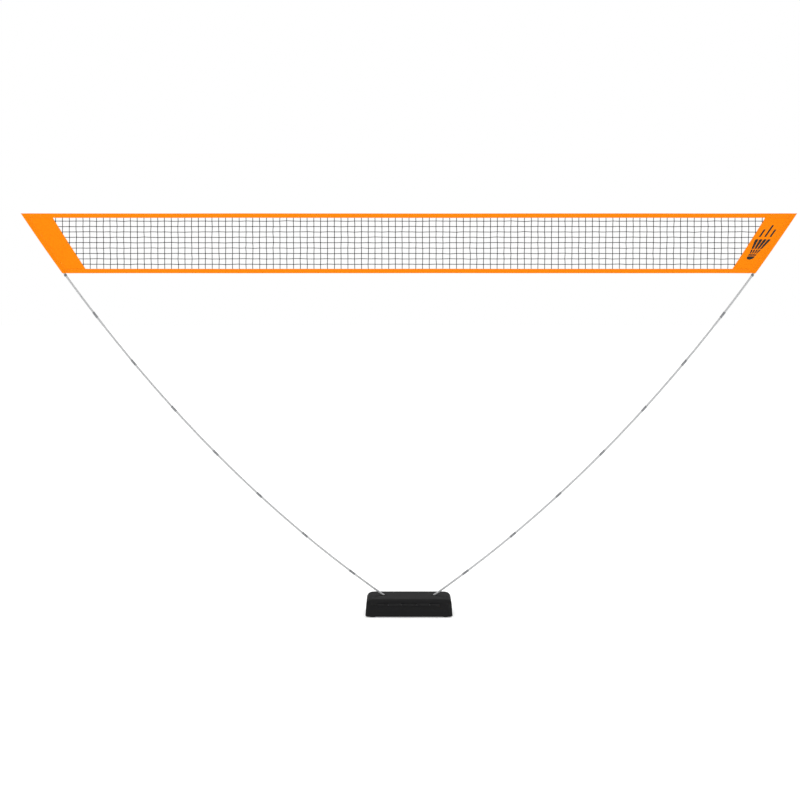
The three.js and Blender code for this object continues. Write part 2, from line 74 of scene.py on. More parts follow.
NET_TOP = box_mm("top_tape")[1][2]
NET_BOTTOM = box_mm("bottom_tape")[0][2]
TAPE_HEIGHT = NET_TOP - box_mm("top_tape")[0][2]
CASE_HALF_LENGTH = box_mm("base_shell")[1][0]
CASE_HALF_DEPTH = box_mm("base_shell")[1][1]
CASE_FLOOR = box_mm("base_shell")[0][2]
SOCKET_BELOW_TOP = 3.3
CASE_TOP = box_mm("pole_socket_left")[1][2] + SOCKET_BELOW_TOP

# The pole's line, as the CAD has it: straight in its socket, then bending upwards.
PIECE_LENGTH = 235.0
PIECES = 9
POLE_LENGTH = PIECE_LENGTH * PIECES
SOCKET_DEPTH = 84.0
POLE_EXIT_X = 98.0
LEAN_AT_EXIT = math.radians(35.1)
LEAN_GAIN = math.radians(21.6)
BEND_EARLY = 1.25
POLE_RADIUS = 3.95
POLE_BORE = 1.9
BAND_HEAD = 88.0  # the side bands' width at the top, square to the pole, from its line
BAND_FOOT = 76.0  # and at the bottom

SIDES = (("left", -1), ("right", 1))


# ---- The camera, the light and the floor ------------------------------------------------

CAMERA_AWAY = 7.0
CAMERA_HEIGHT = 1.25
CAMERA_X = -0.0345
CAMERA_PITCH = math.radians(3.42)
CAMERA_LENS = 81.66

LIGHTS = (  # name, place, aim, width and height in metres, watts
    ("key", (-2.6, -5.4, 3.6), (0, 0, 0.8), (3.0, 2.2), 98),
    ("fill", (3.4, -5.0, 2.8), (0, 0, 0.9), (3.0, 2.5), 44),
    ("rear", (2.4, 4.0, 5.2), (0, 0, 0.8), (3.0, 2.5), 24),
)
DOME = {"From Min": 0.06, "From Max": 0.9, "To Min": 0.05, "To Max": 1.55}  # strength by height
FLOOR_RADIUS = 60
FLOOR_SHADE = 0.96
FLOOR_GLOW = 0.3


def make_camera():
    data = bpy.data.cameras.new("camera")
    data.lens = CAMERA_LENS
    data.sensor_width = 36
    data.clip_end = 200
    camera = bpy.data.objects.new("camera", data)
    camera.location = (CAMERA_X, -CAMERA_AWAY, CAMERA_HEIGHT)
    camera.rotation_euler = (math.pi / 2 - CAMERA_PITCH, 0, 0)
    bpy.context.scene.collection.objects.link(camera)
    bpy.context.scene.camera = camera


def area_light(name, place, aim, size, power):
    data = bpy.data.lights.new(name, "AREA")
    data.shape = "RECTANGLE"
    data.size, data.size_y = size
    data.energy = power
    light = bpy.data.objects.new(name, data)
    light.location = place
    light.rotation_euler = (Vector(aim) - Vector(place)).to_track_quat("-Z", "Y").to_euler()
    bpy.context.scene.collection.objects.link(light)


def make_world():
    """White for the camera. What lights the object is bright overhead and dim at the horizon."""
    world = bpy.data.worlds.new("studio")
    bpy.context.scene.world = world
    world.use_nodes = True
    tree = world.node_tree
    tree.nodes.clear()
    kinds = ("TexCoord", "SeparateXYZ", "MapRange", "Background", "Background", "LightPath")
    where, split, ramp, dome, backdrop, ray = (tree.nodes.new("ShaderNode" + k) for k in kinds)
    mix, out = (tree.nodes.new("ShaderNode" + k) for k in ("MixShader", "OutputWorld"))
    ramp.interpolation_type = "SMOOTHSTEP"
    for socket, value in DOME.items():
        ramp.inputs[socket].default_value = value
    backdrop.inputs["Color"].default_value = (1, 1, 1, 1)
    backdrop.inputs["Strength"].default_value = 1.0
    link = tree.links.new
    link(where.outputs["Generated"], split.inputs[0])
    link(split.outputs["Z"], ramp.inputs["Value"])
    link(ramp.outputs["Result"], dome.inputs["Strength"])
    link(ray.outputs["Is Camera Ray"], mix.inputs[0])
    link(dome.outputs[0], mix.inputs[1])
    link(backdrop.outputs[0], mix.inputs[2])
    link(mix.outputs[0], out.inputs["Surface"])


def make_stage():
    """A very wide pale floor, lit a little from beneath like a white light table."""
    bpy.ops.mesh.primitive_circle_add(vertices=96, radius=FLOOR_RADIUS, fill_type="NGON")
    floor = bpy.context.object
    floor.name = "floor"
    pale = bpy.data.materials.new("pale_floor")
    pale.use_nodes = True
    shader = pale.node_tree.nodes["Principled BSDF"]
    shader.inputs["Base Color"].default_value = (FLOOR_SHADE, FLOOR_SHADE, FLOOR_SHADE, 1)
    shader.inputs["Roughness"].default_value = 0.9
    shader.inputs["Specular IOR Level"].default_value = 0.1
    shader.inputs["Emission Color"].default_value = (1, 1, 1, 1)
    shader.inputs["Emission Strength"].default_value = FLOOR_GLOW
    floor.data.materials.append(pale)


make_camera()
make_world()
make_stage()
for light in LIGHTS:
    area_light(*light)
bpy.context.scene.view_settings.view_transform = "Standard"


# ---- Materials --------------------------------------------------------------------------

WEAVE = 2 * math.pi / 0.00055 / 20  # the wave texture's scale for threads 0.55 mm apart


class Look:
    """A Principled material, with short ways to add the nodes that it needs."""

    def __init__(self, name, color, roughness, metallic=0.0, specular=0.5, sheen=0.0, coat=0.0):
        self.material = bpy.data.materials.new(name)
        self.material.use_nodes = True
        self.tree = self.material.node_tree
        self.shader = self.tree.nodes["Principled BSDF"]
        self.set("Base Color", color)
        self.set("Roughness", roughness)
        self.set("Metallic", metallic)
        self.set("Specular IOR Level", specular)
        self.set("Sheen Weight", sheen)
        self.set("Coat Weight", coat)
        self.height = None

    def feed(self, socket, value):
        """Links a socket to another one, or sets its constant."""
        if isinstance(value, bpy.types.NodeSocket):
            self.tree.links.new(value, socket)
        elif isinstance(value, tuple) and socket.type == "RGBA":
            socket.default_value = (*value, 1)
        else:
            socket.default_value = value

    def set(self, socket, value):
        """Sets or links one of the shader's own sockets."""
        self.feed(self.shader.inputs[socket], value)

    def node(self, kind, **inputs):
        made = self.tree.nodes.new("ShaderNode" + kind)
        for name, value in inputs.items():
            self.feed(made.inputs[name.replace("_", " ")], value)
        return made

    def place(self, scale=(1, 1, 1), turn=(0, 0, 0), attribute=None):
        """Coordinates in metres, from the object or from a named attribute."""
        if attribute:
            source = self.tree.nodes.new("ShaderNodeAttribute")
            source.attribute_name = attribute
            out = source.outputs["Vector"]
        else:
            out = self.tree.nodes.new("ShaderNodeTexCoord").outputs["Object"]
        return self.node("Mapping", Vector=out, Scale=scale, Rotation=turn).outputs["Vector"]

    def noise(self, vector, scale, detail=3.0, roughness=0.55):
        made = self.node("TexNoise", Vector=vector, Scale=scale, Detail=detail, Roughness=roughness)
        return made.outputs["Fac"]

    def wave(self, vector, scale, direction="X", distortion=0.0):
        made = self.node("TexWave", Vector=vector, Scale=scale, Distortion=distortion)
        made.bands_direction = direction
        return made.outputs["Fac"]

    def math(self, a, b, operation="MULTIPLY"):
        made = self.tree.nodes.new("ShaderNodeMath")
        made.operation = operation
        self.feed(made.inputs[0], a)
        self.feed(made.inputs[1], b)
        return made.outputs[0]

    def spread(self, value, low, high, from_low=0.0, from_high=1.0):
        ends = {"From_Min": from_low, "From_Max": from_high, "To_Min": low, "To_Max": high}
        return self.node("MapRange", Value=value, **ends).outputs["Result"]

    def colors(self, fac, stops):
        """A colour ramp: stops are (position, (r, g, b))."""
        ramp = self.node("ValToRGB", Fac=fac)
        elements = ramp.color_ramp.elements
        while len(elements) < len(stops):
            elements.new(0.5)
        for element, (position, color) in zip(elements, stops):
            element.position = position
            element.color = (*color, 1)
        return ramp.outputs["Color"]

    def blend(self, fac, a, b):
        mix = self.tree.nodes.new("ShaderNodeMix")
        mix.data_type = "RGBA"
        for socket, value in ((mix.inputs[0], fac), (mix.inputs[6], a), (mix.inputs[7], b)):
            self.feed(socket, value)
        return mix.outputs[2]

    def bump(self, height, distance):
        """Adds a bump, on top of those already there. distance is in metres."""
        made = self.node("Bump", Height=height, Distance=distance, Strength=1.0)
        if self.height:
            self.tree.links.new(self.height, made.inputs["Normal"])
        self.height = made.outputs["Normal"]
        self.set("Normal", self.height)


def scaled(color, factor, more=0.0):
    return tuple(more + factor * c for c in color)


def moulded_plastic(name, color, roughness, grain, specular):
    """Black moulded plastic: a spark-eroded grain, faint flow marks, edges rubbed paler, dust."""
    look = Look(name, color, roughness, specular=specular)
    here = look.place()
    fine = look.noise(here, 1400, 2)
    coarse = look.noise(here, 9, 4)
    pits = look.node("TexVoronoi", Vector=here, Scale=900.0).outputs["Distance"]
    edge = look.node("NewGeometry").outputs["Pointiness"]
    rubbed = look.spread(edge, 0, 1, 0.52, 0.60)
    scuffs = look.spread(look.noise(look.place(scale=(1, 1, 4)), 38, 6, 0.7), 0, 1, 0.56, 0.72)
    worn = look.math(rubbed, look.spread(look.noise(here, 60, 3), 0.1, 0.9, 0.4, 0.6))
    base = look.blend(look.spread(coarse, 0, 0.55, 0.35, 0.7), color, scaled(color, 1.5))
    base = look.blend(look.math(scuffs, 0.35), base, scaled(color, 1.5, 0.010))
    base = look.blend(look.math(worn, 0.8), base, scaled(color, 2.4, 0.018))
    look.set("Base Color", base)
    look.set("Roughness", look.spread(coarse, roughness - 0.07, roughness + 0.08, 0.3, 0.7))
    look.bump(fine, 0.00006 * grain)
    look.bump(pits, 0.00005 * grain)
    return look.material


def orange_cloth():
    """Close-woven polyester: threads over and under, slightly uneven, with a soft sheen."""
    look = Look("orange_cloth", (0.95, 0.245, 0.002), 0.78, specular=0.07, sheen=0.02)
    look.set("Sheen Roughness", 0.4)
    look.set("Sheen Tint", (1.0, 0.62, 0.25))
    here = look.place(attribute="cloth")
    across = look.wave(here, WEAVE, "X", 0.3)
    along = look.wave(here, WEAVE, "Y", 0.3)
    weave = look.math(across, along)
    fibres = look.noise(look.place(scale=(1, 9, 1), attribute="cloth"), 900, 3)
    cloudy = look.spread(look.noise(look.place(), 14, 4), 0, 0.16, 0.35, 0.7)
    tone = look.colors(
        look.math(look.math(weave, 0.55), look.math(fibres, 0.45), "ADD"),
        [(0.0, (0.74, 0.160, 0.001)), (0.42, (0.93, 0.238, 0.001)), (1.0, (0.99, 0.285, 0.002))],
    )
    look.set("Base Color", look.blend(cloudy, tone, (0.84, 0.190, 0.001)))
    look.set("Roughness", look.spread(fibres, 0.62, 0.82))
    look.bump(weave, 0.00010)
    look.bump(fibres, 0.00004)
    return look.material


def sewing_thread():
    look = Look("orange_thread", (0.90, 0.215, 0.004), 0.5, specular=0.35, sheen=0.1)
    ply = look.wave(look.place(turn=(0.5, 0.4, 0.6)), 900, "DIAGONAL")
    look.set("Base Color", look.blend(ply, (0.66, 0.13, 0.002), (1.0, 0.30, 0.012)))
    look.bump(ply, 0.00008)
    return look.material


def net_cord():
    """Black twisted netting cord, with the twist running round each strand."""
    look = Look("net_cord", (0.006, 0.006, 0.006), 0.66, specular=0.16)
    twist = look.wave(look.place(attribute="strand"), 1, "DIAGONAL", 0.4)
    fuzz = look.noise(look.place(), 700, 3)
    look.set("Base Color", look.blend(twist, (0.003, 0.003, 0.003), (0.014, 0.014, 0.015)))
    look.set("Roughness", look.spread(fuzz, 0.5, 0.75))
    look.bump(twist, 0.00012)
    look.bump(fuzz, 0.00005)
    return look.material


def print_ink():
    """Black screen-printed ink, with the cloth's weave showing through."""
    look = Look("print_ink", (0.012, 0.012, 0.012), 0.5, specular=0.3)
    here = look.place(attribute="cloth")
    weave = look.math(look.wave(here, WEAVE, "X"), look.wave(here, WEAVE, "Y"))
    thin = look.spread(look.noise(look.place(), 420, 4), 0, 0.3, 0.55, 0.8)
    look.set("Base Color", look.blend(thin, (0.010, 0.010, 0.010), (0.05, 0.022, 0.006)))
    look.bump(weave, 0.00006)
    return look.material


def fibreglass():
    """Light grey resin over glass fibres that run along the pole."""
    look = Look("fibreglass", (0.43, 0.435, 0.44), 0.34, specular=0.4, coat=0.12)
    look.set("Coat Roughness", 0.18)
    streaks = look.noise(look.place(scale=(0.03, 1, 1), attribute="strand"), 6, 5, 0.6)
    patches = look.spread(look.noise(look.place(), 22, 3), 0, 0.25)
    shade = look.colors(
        streaks,
        [(0.25, (0.30, 0.305, 0.31)), (0.5, (0.43, 0.435, 0.44)), (0.8, (0.56, 0.56, 0.56))],
    )
    look.set("Base Color", look.blend(patches, shade, (0.37, 0.375, 0.39)))
    look.set("Roughness", look.spread(streaks, 0.22, 0.42))
    look.bump(streaks, 0.00005)
    look.bump(look.noise(look.place(attribute="strand"), 3, 2), 0.00002)
    return look.material


def metal(name, color, roughness, grain_scale, along="strand"):
    """Drawn or rolled metal: fine scratches in one direction and a little tarnish."""
    look = Look(name, color, roughness, metallic=1.0)
    here = look.place(scale=(0.02, 1, 1), attribute=along) if along else look.place((1, 40, 40))
    lines = look.noise(here, grain_scale, 5, 0.65)
    tarnish = look.spread(look.noise(look.place(), 45, 4), 0, 0.7, 0.4, 0.75)
    look.set("Base Color", look.blend(tarnish, color, scaled(color, 0.62)))
    look.set("Roughness", look.spread(lines, roughness - 0.1, roughness + 0.16))
    look.bump(lines, 0.00002)
    return look.material


def rubber(name, color):
    look = Look(name, color, 0.78, specular=0.22)
    here = look.place()
    bloom = look.noise(here, 55, 5)
    pale = look.spread(bloom, 0, 0.6, 0.45, 0.75)
    look.set("Base Color", look.blend(pale, color, scaled(color, 2.6)))
    look.set("Roughness", look.spread(bloom, 0.68, 0.88))
    look.bump(look.noise(here, 1800, 2), 0.00005)
    return look.material


def braided_elastic():
    look = Look("elastic", (0.75, 0.74, 0.70), 0.8, specular=0.2, sheen=0.2)
    braid = look.wave(look.place(turn=(0, 0.8, 0)), 320, "DIAGONAL", 0.5)
    look.set("Base Color", look.blend(braid, (0.55, 0.54, 0.50), (0.85, 0.84, 0.80)))
    look.bump(braid, 0.0002)
    return look.material


CASE_PLASTIC = moulded_plastic("case_plastic", (0.0062, 0.0062, 0.0065), 0.60, 1.0, 0.12)
TRIM_PLASTIC = moulded_plastic("trim_plastic", (0.0045, 0.0045, 0.0047), 0.42, 0.5, 0.22)
CLOTH = orange_cloth()
THREAD = sewing_thread()
NET_CORD = net_cord()
INK = print_ink()
FIBREGLASS = fibreglass()
FERRULE_METAL = metal("ferrule_metal", (0.27, 0.275, 0.285), 0.5, 5)
STEEL = metal("steel", (0.42, 0.42, 0.43), 0.38, 60, along=None)
RUBBER = rubber("rubber", (0.010, 0.010, 0.010))
GREY_RUBBER = rubber("grey_rubber", (0.16, 0.16, 0.16))
ELASTIC = braided_elastic()


# ---- Meshes -----------------------------------------------------------------------------


def keep(name, mesh, body, look, replaces=(), angle=35):
    """Makes a piece of a mesh in metres, smooth but for its sharp edges, and puts it on a body."""
    mesh.materials.clear()
    mesh.materials.append(look)
    mesh.polygons.foreach_set("use_smooth", [True] * len(mesh.polygons))
    mesh.set_sharp_from_angle(angle=math.radians(angle))
    piece = bpy.data.objects.new(name, mesh)
    bpy.context.scene.collection.objects.link(piece)
    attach(piece, body)
    if replaces:
        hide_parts(*replaces)
    return piece


def dress(node, look):
    """Gives its material to a CAD node that is shown as it is."""
    materials = frame["nodes"][node].data.materials
    materials.clear()
    materials.append(look)


def store(mesh, attribute, values):
    """Keeps a vector for each of a mesh's points."""
    layer = mesh.attributes.new(attribute, "FLOAT_VECTOR", "POINT")
    layer.data.foreach_set("vector", np.asarray(values, np.float32).ravel())


def mesh_of(name, points, faces, attribute=None, values=None):
    """A mesh from points in millimetres. values are kept as a vector attribute of its points."""
    mesh = bpy.data.meshes.new(name)
    mesh.from_pydata((np.asarray(points, float) * MM).tolist(), [], faces)
    if attribute:
        store(mesh, attribute, values)
    mesh.update()
    return mesh


def grid_faces(rows, columns, wrap_rows=False, wrap_columns=False, start=0):
    """Quads over points laid out row by row."""
    faces = []
    for i in range(rows if wrap_rows else rows - 1):
        for j in range(columns if wrap_columns else columns - 1):
            a, b = i * columns + j, i * columns + (j + 1) % columns
            c = (i + 1) % rows * columns + (j + 1) % columns
            d = (i + 1) % rows * columns + j
            faces.append((start + a, start + b, start + c, start + d))
    return faces


def capped_faces(rows, columns, start=0):
    """Quads over rings of points, one ring after another, with a flat face at each end."""
    last = start + (rows - 1) * columns
    faces = grid_faces(rows, columns, wrap_columns=True, start=start)
    faces.append(tuple(reversed(range(start, start + columns))))
    faces.append(tuple(range(last, last + columns)))
    return faces


def facing_out(mesh):
    """Turns the faces of a closed mesh outwards."""
    bm = bmesh.new()
    bm.from_mesh(mesh)
    bmesh.ops.recalc_face_normals(bm, faces=bm.faces)
    bm.to_mesh(mesh)
    bm.free()
    return mesh


def with_modifiers(mesh, *settings):
    """A copy of a mesh with modifiers applied: each is (kind, {setting: value})."""
    helper = bpy.data.objects.new("helper", mesh)
    bpy.context.scene.collection.objects.link(helper)
    for kind, values in settings:
        modifier = helper.modifiers.new(kind, kind)
        for key, value in values.items():
            setattr(modifier, key, value)
    bpy.context.view_layer.update()
    evaluated = helper.evaluated_get(bpy.context.evaluated_depsgraph_get())
    made = bpy.data.meshes.new_from_object(evaluated)
    bpy.data.objects.remove(helper)
    return made


def cut(mesh, other, operation="DIFFERENCE"):
    """One mesh joined to another, or with the other cut away."""
    tool = bpy.data.objects.new("tool", other)
    bpy.context.scene.collection.objects.link(tool)
    settings = {"operation": operation, "object": tool, "solver": "EXACT"}
    made = with_modifiers(mesh, ("BOOLEAN", settings))
    bpy.data.objects.remove(tool)
    return made


def tidied(mesh, angle=1.0):
    """Flat faces merged and doubled points joined."""
    bm = bmesh.new()
    bm.from_mesh(mesh)
    bmesh.ops.remove_doubles(bm, verts=bm.verts, dist=1e-6)
    limit = math.radians(angle)
    bmesh.ops.dissolve_limit(bm, angle_limit=limit, verts=bm.verts, edges=bm.edges)
    bm.to_mesh(mesh)
    bm.free()
    return mesh


def bevelled(mesh, width, segments=3, angle=38):
    """Rounds the sharp edges. width is in millimetres."""
    settings = {
        "width": width * MM,
        "segments": segments,
        "limit_method": "ANGLE",
        "angle_limit": math.radians(angle),
        "use_clamp_overlap": True,
        "harden_normals": False,
        "miter_outer": "MITER_ARC",
    }
    return with_modifiers(mesh, ("BEVEL", settings))


def block(low, high):
    x, y, z = zip(low, high)
    points = [(x[i], y[j], z[k]) for i in (0, 1) for j in (0, 1) for k in (0, 1)]
    faces = [(0, 1, 3, 2), (4, 6, 7, 5), (0, 4, 5, 1), (2, 3, 7, 6), (0, 2, 6, 4), (1, 5, 7, 3)]
    return mesh_of("block", points, faces)


def extruded(outline, axis, low, high):
    """An outline of the other two coordinates, drawn out along axis 0, 1 or 2."""
    points = [np.insert(corner, axis, level) for level in (low, high) for corner in outline]
    return facing_out(mesh_of("extruded", points, capped_faces(2, len(outline))))


def rounded_outline(half_u, half_v, corner, steps, centre=(0, 0)):
    """A rectangle with rounded corners, as points of (u, v)."""
    outline = []
    for quarter, (su, sv) in enumerate(((1, 1), (-1, 1), (-1, -1), (1, -1))):
        for k in range(steps + 1):
            a = math.pi / 2 * (quarter + k / steps)
            u = centre[0] + su * (half_u - corner) + corner * math.cos(a)
            v = centre[1] + sv * (half_v - corner) + corner * math.sin(a)
            outline.append((u, v))
    return outline


def rounded_plate(low, high, radius, axis, steps=6):
    """A block between two corners, with its four edges along an axis rounded."""
    u, v = [k for k in range(3) if k != axis]
    half_u, half_v = (high[u] - low[u]) / 2, (high[v] - low[v]) / 2
    centre = (low[u] + half_u, low[v] + half_v)
    outline = rounded_outline(half_u, half_v, radius, steps, centre)
    return extruded(outline, axis, low[axis], high[axis])


def around(sides):
    """The angles of a ring's points."""
    return [2 * math.pi * k / sides for k in range(sides)]


def add_ring(points, rings, middle, radius, first, second, sides):
    """Adds a ring of points to the lists, or its middle alone where the radius is 0."""
    angles = around(sides) if radius else [0.0]
    rings.append(list(range(len(points), len(points) + len(angles))))
    for a in angles:
        points.append(middle + radius * (math.cos(a) * first + math.sin(a) * second))
    return angles


def ring_faces(rings, closed):
    """Faces between rings of points, one after another. A ring of one point is a tip."""
    faces = []
    pairs = list(zip(rings, rings[1:])) + ([(rings[-1], rings[0])] if closed else [])
    for a, b in pairs:
        n = max(len(a), len(b))
        for k in range(n):
            if len(a) == 1:
                faces.append((a[0], b[(k + 1) % n], b[k]))
            elif len(b) == 1:
                faces.append((a[k], a[(k + 1) % n], b[0]))
            else:
                faces.append((a[k], a[(k + 1) % n], b[(k + 1) % n], b[k]))
    return faces


def lathe(profile, centre, axis, sides=32):
    """A solid turned round an axis: profile is [(along, radius)]. One that starts on the axis
    ends there too, and any other closes on itself."""
    axis = np.array(axis, float)
    axis /= np.linalg.norm(axis)
    first = np.cross(axis, (0, 0, 1) if abs(axis[2]) < 0.9 else (1, 0, 0))
    first /= np.linalg.norm(first)
    second = np.cross(axis, first)
    points, rings = [], []
    for along, radius in profile:
        middle = np.array(centre, float) + along * axis
        add_ring(points, rings, middle, radius, first, second, sides)
    return facing_out(mesh_of("lathe", points, ring_faces(rings, profile[0][1] > 0)))


# ---- The poles' line --------------------------------------------------------------------

LINE_STEP = 1.0
PAST_TIP = 120.0  # the line runs on, for points beside the pole
STEPS_ALONG = np.arange(0, POLE_LENGTH + PAST_TIP, LINE_STEP)


def lean_at(along):
    u = np.clip((along - SOCKET_DEPTH) / (POLE_LENGTH - SOCKET_DEPTH), 0, 1)
    return LEAN_AT_EXIT + LEAN_GAIN * (BEND_EARLY * u - (BEND_EARLY - 1) * u * u)


def pole_line():
    """The pole's middle line from its lower end, as x and z at every step."""
    lean = lean_at(STEPS_ALONG[:-1] + LINE_STEP / 2)
    x = np.concatenate([[0], np.cumsum(np.cos(lean))]) * LINE_STEP
    z = np.concatenate([[0], np.cumsum(np.sin(lean))]) * LINE_STEP
    x += POLE_EXIT_X - np.interp(SOCKET_DEPTH, STEPS_ALONG, x)
    z += CASE_TOP - np.interp(SOCKET_DEPTH, STEPS_ALONG, z)
    return x, z


LINE_X, LINE_Z = pole_line()


def pole_xz(along, across=0.0):
    """A point of the right pole's line, moved across it, towards the net."""
    lean = lean_at(along)
    x = np.interp(along, STEPS_ALONG, LINE_X) - across * np.sin(lean)
    z = np.interp(along, STEPS_ALONG, LINE_Z) + across * np.cos(lean)
    return x, z


def along_at_height(height, across=0.0):
    """How far along the pole a point that far across it reaches a height."""
    z = LINE_Z + across * np.cos(lean_at(STEPS_ALONG))
    return np.interp(height, z, STEPS_ALONG)


def x_at_height(height, across):
    return pole_xz(along_at_height(height, across), across)[0]


def band_width(share):
    """A side band's width, from its foot at 0 to its head at 1."""
    return BAND_FOOT + (BAND_HEAD - BAND_FOOT) * share


def inner_edge_x(height, clearance=0.0):
    """Where a side band's inner edge is at a height, or a point past it towards the middle."""
    width = band_width((height - NET_BOTTOM) / (NET_TOP - NET_BOTTOM))
    return x_at_height(height, width + clearance)


# ---- The poles --------------------------------------------------------------------------

PIECE_GAP = 0.3  # at each end of a piece that meets another
LAST_PIECE_SHORT = 4.0  # room for the tip's floor
TIP_BEYOND = 2.5
TIP_COVER = 22.0
STOP_BELOW = 4.0  # under the net's bottom edge
STOP_LENGTH = 9.0


def turned_on_pole(name, sign, profile, look, node, sides=20, longest=14.0):
    """A piece turned round the pole's bent line: profile is [(along, radius)].
    A profile that starts on the line is a solid, and any other closes on itself."""
    closed = profile[0][1] > 0
    corners = profile + [profile[0]] if closed else profile
    steps = []
    for (s0, r0), (s1, r1) in zip(corners, corners[1:]):
        count = max(1, math.ceil(abs(s1 - s0) / longest))
        steps += [(s0 + (s1 - s0) * i / count, r0 + (r1 - r0) * i / count) for i in range(count)]
    if not closed:
        steps.append(corners[-1])
    points, values, rings = [], [], []
    for s, r in steps:
        x, z = pole_xz(s)
        lean = lean_at(s)
        up = np.array((-sign * math.sin(lean), 0, math.cos(lean)))
        middle = np.array((sign * x, 0, z))
        angles = add_ring(points, rings, middle, r, up, np.array((0, 1, 0)), sides)
        values += [(s, r * math.cos(a), r * math.sin(a)) for a in angles]
    mesh = mesh_of(name, points, ring_faces(rings, closed), "strand", values)
    return keep(name, facing_out(mesh), "lid", look, [node], angle=50)


def pole_piece(name, sign, number):
    low = number * PIECE_LENGTH + (PIECE_GAP if number else 0)
    high = (number + 1) * PIECE_LENGTH - (PIECE_GAP if number < PIECES - 1 else LAST_PIECE_SHORT)
    r, bore, edge = POLE_RADIUS, POLE_BORE, 0.5
    profile = [
        (low, bore + 0.2),
        (low, r - edge),
        (low + edge, r),
        (high - edge, r),
        (high, r - edge),
        (high, bore + 0.2),
        (high - 0.4, bore),
        (low + 0.4, bore),
    ]
    node = f"pole_{name}_{number + 1}"
    turned_on_pole(f"rod_{name}_{number + 1}", sign, profile, FIBREGLASS, node)


def ferrule(name, sign, number):
    """A drawn sleeve with rolled ends and two crimped rings."""
    middle = number * PIECE_LENGTH
    half, r, bore = 13.0, 4.6, 4.2
    one_end = [
        (-half, bore + 0.05),
        (-half, r + 0.10),
        (-half + 0.5, r + 0.30),
        (-half + 1.5, r + 0.30),
        (-half + 2.1, r),
        (-half + 4.6, r),
        (-half + 5.0, r - 0.22),
        (-half + 5.8, r - 0.22),
        (-half + 6.2, r),
    ]
    outer = one_end + [(-s, radius) for s, radius in reversed(one_end)]
    profile = [(middle + s, radius) for s, radius in outer]
    node = f"ferrule_{name}_{number}"
    turned_on_pole(f"sleeve_{name}_{number}", sign, profile, FERRULE_METAL, node)


def pole_tip(name, sign):
    """A rubber cap with a rounded end and a rim."""
    floor, rim, end = POLE_LENGTH - 3.5, POLE_LENGTH - TIP_COVER, POLE_LENGTH + TIP_BEYOND
    bore, r, bead = 4.15, 4.6, 4.85
    profile = [
        (floor, 0),
        (floor, bore),
        (rim, bore),
        (rim, r),
        (rim + 0.7, bead),
        (rim + 3.0, bead),
        (rim + 3.6, r),
        (end - 2.2, r),
        (end - 0.9, 4.1),
        (end - 0.2, 2.8),
        (end, 0),
    ]
    node = f"pole_tip_{name}"
    turned_on_pole(f"tip_cap_{name}", sign, profile, RUBBER, node, longest=4)


def net_stop(name, sign):
    """A grey rubber collar with two ribs, that keeps the sleeve from sliding down the pole."""
    top = along_at_height(NET_BOTTOM) - STOP_BELOW
    low = top - STOP_LENGTH
    bore, edge, wall, rib, valley = 4.25, 4.9, 5.3, 5.6, 5.1
    profile = [(low, bore), (low, edge), (low + 0.6, wall)]
    for start in (low + 1.2, low + 5.0):
        profile += [(start, rib), (start + 1.8, rib), (start + 2.3, valley), (start + 2.9, valley)]
    profile += [(top - 0.4, wall), (top, edge), (top, bore)]
    node = f"net_stop_{name}"
    turned_on_pole(f"stop_collar_{name}", sign, profile, GREY_RUBBER, node, 24, 6)


for side_name, side in SIDES:
    for i in range(PIECES):
        pole_piece(side_name, side, i)
        if i:
            ferrule(side_name, side, i)
    pole_tip(side_name, side)
    net_stop(side_name, side)
    dress(f"shock_cord_{side_name}", ELASTIC)


# ---- The netting ------------------------------------------------------------------------

STRAND_RADIUS = 1.3
PRESSED_RADIUS = 0.45
HEM = 7.0  # how far the cords' ends run inside the tapes
LEVEL_HEM = HEM - 1  # and inside the bands, square to their slanting edge: the level cords
UPRIGHT_HEM = 0.6 * HEM  # and the upright ones
MESH_WIDE = 26.1
MESH_HIGH = 20.65
FIRST_STRAND = 30.0  # below the net's top
STRANDS_DOWN = 9
STRAND_SIDES = 6
TWIST_PITCH = 3.6
KNOT_CLEARANCE = 2.5
KNOT_SIZE = (2.4, 1.9, 2.2)
KNOT_OFF = (0.45, 0.3, 0.4)  # how uneven the knots' places are, along each axis
STRAND_OFF = (0.15, 0.25, 0.15)  # and the strands between them
CALM = 60.0  # how far from the side bands the ripples are full


def ripple(x, z):
    """How far the net and its tapes stand off their plane: long waves and short puckers, which
    die out towards the side bands."""
    slow = 0.55 * np.sin(x / 173.0 + 0.8) + 0.35 * np.sin(x / 71.0 + z / 60.0 + 2.1)
    quick = 0.16 * np.sin(x / 13.7 + 0.9 * np.sin(x / 47.0)) + 0.10 * np.sin(x / 7.3 + 1.7)
    near_band = np.clip((inner_edge_x(z) - np.abs(x)) / CALM, 0, 1)
    return near_band * near_band * (3 - 2 * near_band) * (slow + quick)


def hem_points(path):
    """Where a strand that starts at the path's first point is last flat, and first round."""
    way = path[1] - path[0]
    length = np.linalg.norm(way)
    last_flat = path[0] + way * min((HEM - 1.5) / length, 0.8)
    first_round = path[0] + way * min((HEM + 0.5) / length, 0.95)
    return np.array([last_flat, first_round])


